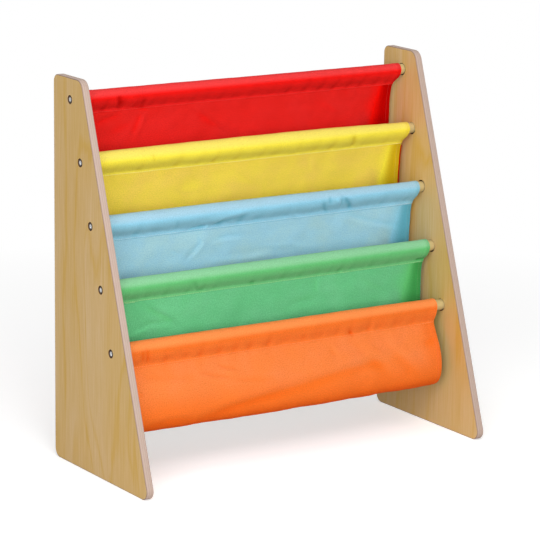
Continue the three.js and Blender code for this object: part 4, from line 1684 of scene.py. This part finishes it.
def make_slings() -> list[Sling]:
    """The five slings from the top one down, with the creases that each one has.

    Returns:
        The slings.
    """
    ridge, valley, step = (partial(Crease.row, fold) for fold in Fold)
    red = Cloth.dyed(
        "red", (231, 38, 33), (233, 43, 40), (250, 16, 8),
        (191, 2, 0), (240, 66, 66), (232, 42, 36), gloss=0.02,
    )
    yellow = Cloth.dyed(
        "yellow", (243, 221, 78), (244, 214, 92), (254, 239, 66),
        (215, 183, 14), (242, 228, 103), (252, 240, 160), gloss=0.15,
    )
    blue = Cloth.dyed(
        "blue", (162, 212, 232), (172, 213, 220), (146, 213, 238),
        (96, 178, 201), (167, 206, 223), (196, 224, 236), gloss=0.35,
    )
    green = Cloth.dyed(
        "green", (103, 201, 136), (114, 206, 146), (98, 203, 118),
        (58, 163, 80), (142, 208, 157), (158, 217, 148), gloss=0.3,
    )
    orange = Cloth.dyed(
        "orange", (240, 134, 65), (240, 137, 75), (241, 119, 41),
        (236, 100, 22), (246, 149, 80), (244, 138, 74), gloss=0.02, mottle=0.8,
    )
    return [
        Sling(
            "red", tier=0, cloth=red, seam_back=0.0108, mid_back=0.0146, low_back=0.0168, flap=0.0018,
            sleeve=(0.0111, 0.0109, 0.0102, 0.0100, 0.0094),
            creases=(
                valley(4.5, 0.9, (-236, -2), (-224, 17)),
                ridge(3.1, 0.7, (-214, -2), (-204, 16)),
                valley(4.2, 0.9, (-187, 6), (-179, 27)),
                valley(3.1, 1.3, (-190, 24), (-170, 28)),
                step(6, 1.1, (-176, 33), (-182, 50), (-192, 70)),
                step(6, 0.9, (-262, 40), (-221, 29)),
                valley(6, 0.8, (-235, 60), (-196, 49)),
                step(7, 1, (-78, 36), (-46, 59), (-18, 77)),
                ridge(9, 0.5, (40, 38), (95, 44)),
                step(9, 0.5, (150, 34), (205, 70)),
            ),
        ),
        Sling(
            "yellow", tier=1, cloth=yellow, seam_back=0.0087, mid_back=0.0132, low_back=0.0175, flap=0.0024,
            sleeve=(0.0133, 0.0137, 0.0135, 0.0127, 0.0096),
            creases=(
                valley(3.5, 0.3, (-194, -6), (-190, 10)),
                ridge(7, 0.6, (-170, 4), (-160, 22)),
                valley(14, 0.9, (-131, 62), (-86, 64)),
                step(6, 0.5, (112, 28), (119, 58)),
                valley(3.6, 0.6, (177, 0), (189, 20)),
                ridge(3.7, 0.7, (60, 13), (82, 21)),
                step(8, 0.6, (-268, 40), (-240, 78)),
                step(10, 0.5, (-30, 40), (30, 74)),
            ),
        ),
        Sling(
            "blue", tier=2, cloth=blue, seam_back=0.0071, mid_back=0.0097, low_back=0.0130, flap=0.0052,
            sleeve=(0.0130, 0.0128, 0.0124, 0.0110, 0.0096),
            creases=(
                ridge(3.1, 1.1, (-108, 28), (-96, 18), (-82, 11)),
                valley(3.1, 0.6, (-141, 27), (-124, 21), (-109, 19)),
                step(6, 0.7, (-150, 26), (-111, 20), (-80, 13), (-30, 5)),
                valley(3.6, 0.4, (-169, 4), (-159, 22)),
                ridge(3.7, 0.6, (-216, 22), (-200, 27)),
                step(6, 0.8, (-116, 32), (-108, 48), (-122, 64), (-136, 77)),
                step(6, -0.7, (-90, 51), (-64, 47), (-32, 49)),
                step(8, -0.7, (-82, 79), (-32, 81), (28, 77)),
                valley(6, 0.5, (-88, 53), (-71, 79)),
                step(5, 0.5, (-163, 53), (-145, 64)),
                valley(7, 0.5, (-190, 83), (-148, 86)),
                step(4.8, 1.1, (143, -3), (158, 9), (172, 24)),
                ridge(3.7, 1.1, (128, -2), (140, 20)),
                valley(3, 0.7, (113, -4), (117, 10)),
                valley(3, 0.7, (137, 0), (142, 19)),
                valley(3.4, 0.9, (101, 4), (112, 16), (122, 27)),
                ridge(3.7, 1, (53, 20), (75, 31)),
                ridge(5, 0.8, (111, 26), (130, 52), (168, 79)),
                step(6, -0.8, (150, 32), (185, 45), (221, 56), (262, 66)),
                step(6, 0.5, (218, 67), (236, 84)),
                step(7, 0.5, (16, 72), (52, 74), (89, 84)),
            ),
        ),
        LiningSling(
            "green", tier=3, cloth=green, seam_back=0.0045, mid_back=0.0066, low_back=0.0075, flap=0.0024,
            sleeve=(0.0120, 0.0120, 0.0121, 0.0120, 0.0108),
            creases=(
                valley(3.6, 0.6, (-154, 3), (-140, 25)),
                valley(3.6, 0.8, (-45, 18), (-36, 26)),
                step(6, 0.9, (-229, 34), (-204, 48), (-182, 61), (-165, 77)),
                step(6, -0.7, (-256, 78), (-222, 68), (-184, 70)),
                step(6, 0.5, (84, 29), (86, 54)),
                valley(12, 0.6, (-96, 78), (-33, 79), (22, 75)),
                valley(3.1, 1.5, (270, 21), (290, 20)),
                step(8, -0.5, (34, 69), (88, 67)),
                step(9, 0.5, (170, 36), (235, 70)),
            ),
            loose_end=((-0.250, 0.0270), (-0.256, 0.0264), (-0.262, 0.0270), (-0.268, 0.0262)),
        ),
        BellySling(
            "orange", tier=4, cloth=orange, flap=0.0030,
            sleeve=(0.0133, 0.0131, 0.0123, 0.0123, 0.0110),
            creases=(
                valley(2.5, 0.9, (-265, -2), (-260, 19)),
                valley(2.5, 0.9, (-257, -3), (-251, 21)),
                step(4, -0.8, (-133, 40), (-120, 46), (-98, 52)),
                step(4, -0.8, (-165, 49), (-143, 55), (-111, 62)),
                step(6, -0.8, (-116, 66), (-67, 72), (-25, 78)),
                step(10, 1.6, (-171, 110), (-119, 99), (-63, 91), (6, 83)),
                step(11, 1.4, (-10, 85), (77, 72), (149, 65), (204, 67)),
                step(8, 0.8, (-271, 112), (-228, 107), (-182, 108)),
                valley(4, 1, (-277, 64), (-270, 69)),
                step(6, -0.6, (-271, 46), (-217, 52), (-173, 58)),
                valley(2.5, 1.5, (118, 20), (126, 29)),
                step(7, 0.9, (252, 50), (281, 47)),
                step(7, 0.8, (80, 37), (89, 52)),
                ridge(10, 1, (90, 60), (160, 56)),
                step(12, 1, (128, 34), (180, 85)),
                step(12, 0.9, (180, 36), (235, 92)),
            ),
        ),
    ]


# The studio

@dataclass(frozen=True)
class Lamp:
    """A square soft light, at a place and aimed at the middle of the shelf."""

    name: str
    place: tuple[float, float, float]
    size: float
    watts: float
    aim: tuple[float, float, float] = (0.0, 0.0, 0.33)

    def hang(self) -> None:
        """Adds the lamp to the scene."""
        data = bpy.data.lights.new(self.name, "AREA")
        data.size, data.energy = self.size, self.watts
        lamp = bpy.data.objects.new(self.name, data)
        lamp.location = self.place
        away = Vector(self.place) - Vector(self.aim)
        lamp.rotation_euler = away.to_track_quat("Z", "Y").to_euler()
        bpy.context.scene.collection.objects.link(lamp)


@dataclass(frozen=True)
class Studio:
    """The camera, the floor, the white surround and the lamps."""

    camera_place: tuple[float, float, float] = (-2.3072, -3.4782, 1.2597)
    heading: float = 33.463
    pitch: float = -13.120
    roll: float = 0.773
    lens: float = 184.15
    floor_reach: float = 30.0
    floor_fade: tuple[float, float] = (0.55, 1.5)
    card: tuple = linear(226, 222, 218)
    shown_card: tuple = linear(232, 232, 232)
    card_grain: float = 60.0
    glow: float = 0.42
    ambient: float = 0.15
    lamps: tuple[Lamp, ...] = (
        Lamp("key", (-1.98, -2.11, 1.67), 2.4, 66.0),
        Lamp("front", (-0.64, -3.10, 0.35), 2.2, 76.0),
        Lamp("high", (-0.32, -1.76, 2.99), 2.4, 35.0),
        Lamp("top", (0.0, 0.32, 3.50), 2.4, 28.0),
    )

    def add_camera(self) -> None:
        """Puts the camera where the photograph was taken from.

        It looks along the heading, which turns from +Y towards +X, and the pitch above the
        horizon, and then turns about its own axis by the roll.
        """
        heading, pitch, roll = (math.radians(a) for a in (self.heading, self.pitch, self.roll))
        flat = Vector((math.sin(heading), math.cos(heading), 0.0))
        look = flat * math.cos(pitch) + Vector((0.0, 0.0, math.sin(pitch)))
        level = Vector((math.cos(heading), -math.sin(heading), 0.0))
        upright = level.cross(look)
        right = level * math.cos(roll) + upright * math.sin(roll)
        axes = Matrix((right, right.cross(look), -look)).transposed().to_4x4()
        data = bpy.data.cameras.new("photo_camera")
        data.lens, data.sensor_width = self.lens, 36.0
        camera = bpy.data.objects.new("photo_camera", data)
        camera.matrix_world = Matrix.Translation(self.camera_place) @ axes
        bpy.context.scene.collection.objects.link(camera)
        bpy.context.scene.camera = camera

    @staticmethod
    def seen(recipe: Recipe) -> Value:
        """1 for rays from the camera, and for mirrored and refracted ones."""
        path = recipe.node("ShaderNodeLightPath").outputs
        seen = Value(recipe.tree, path["Is Camera Ray"])
        for name in ("Is Glossy Ray", "Is Transmission Ray"):
            seen = seen + Value(recipe.tree, path[name])
        return seen.clamped()

    def add_floor(self) -> None:
        """A plain pale floor that shows white and keeps the shelf's shadow.

        Seen rays get a grey glow besides the floor's own light, so that the lit floor is white
        and its shadows stay, and plain white further off, where no shadow falls. All other rays
        meet plain pale card.
        """
        recipe = Recipe.of("floor_card")
        reach = self.floor_reach
        x, y, z = recipe.place()
        grain = recipe.noise(recipe.vector(x, y, z), scale=self.card_grain)
        tone = 0.99 + grain * 0.02
        card, white = (
            recipe.shader("BsdfDiffuse", {"Color": recipe.shade(colour, tone)})
            for colour in (self.card, self.shown_card)
        )
        glow, plain = (
            recipe.shader("Emission", {"Color": WHITE, "Strength": strength})
            for strength in (self.glow, 1.0)
        )
        near, far = self.floor_fade
        away = recipe.length(recipe.vector(x, y, 0.0)).above(near, far - near)
        shown = recipe.blend(away, recipe.shader("AddShader", {0: white, 1: glow}), plain)
        material = recipe.finish(recipe.blend(self.seen(recipe), card, shown))
        corners = reach * np.array([[-1, -1, 0], [1, -1, 0], [1, 1, 0], [-1, 1, 0]])
        floor = make_piece("floor", corners, [np.array([[0, 1, 2, 3]])])
        floor.data.materials.append(material)

    def add_surround(self) -> None:
        """A white surround, whose light on the shelf is softer than its own white."""
        world = bpy.data.worlds.new("surround")
        bpy.context.scene.world = world
        recipe = Recipe(world)
        strength = self.ambient + self.seen(recipe) * (1.0 - self.ambient)
        sky = recipe.shader("Background", {"Color": WHITE, "Strength": strength})
        recipe.node("ShaderNodeOutputWorld", sockets={"Surface": sky})

    def build(self) -> None:
        """Sets up the whole studio."""
        self.add_camera()
        self.add_floor()
        self.add_surround()
        for lamp in self.lamps:
            lamp.hang()
        bpy.context.scene.view_settings.view_transform = "Standard"


def main() -> None:
    """Builds the studio and the shelf, and logs the panels' and cloths' face counts and the
    cloths' cut sizes.
    """
    logging.basicConfig(level=logging.INFO, format="%(message)s")
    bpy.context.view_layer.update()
    Studio().build()
    Shelf(make_slings()).build()


if __name__ == "__main__":
    main()
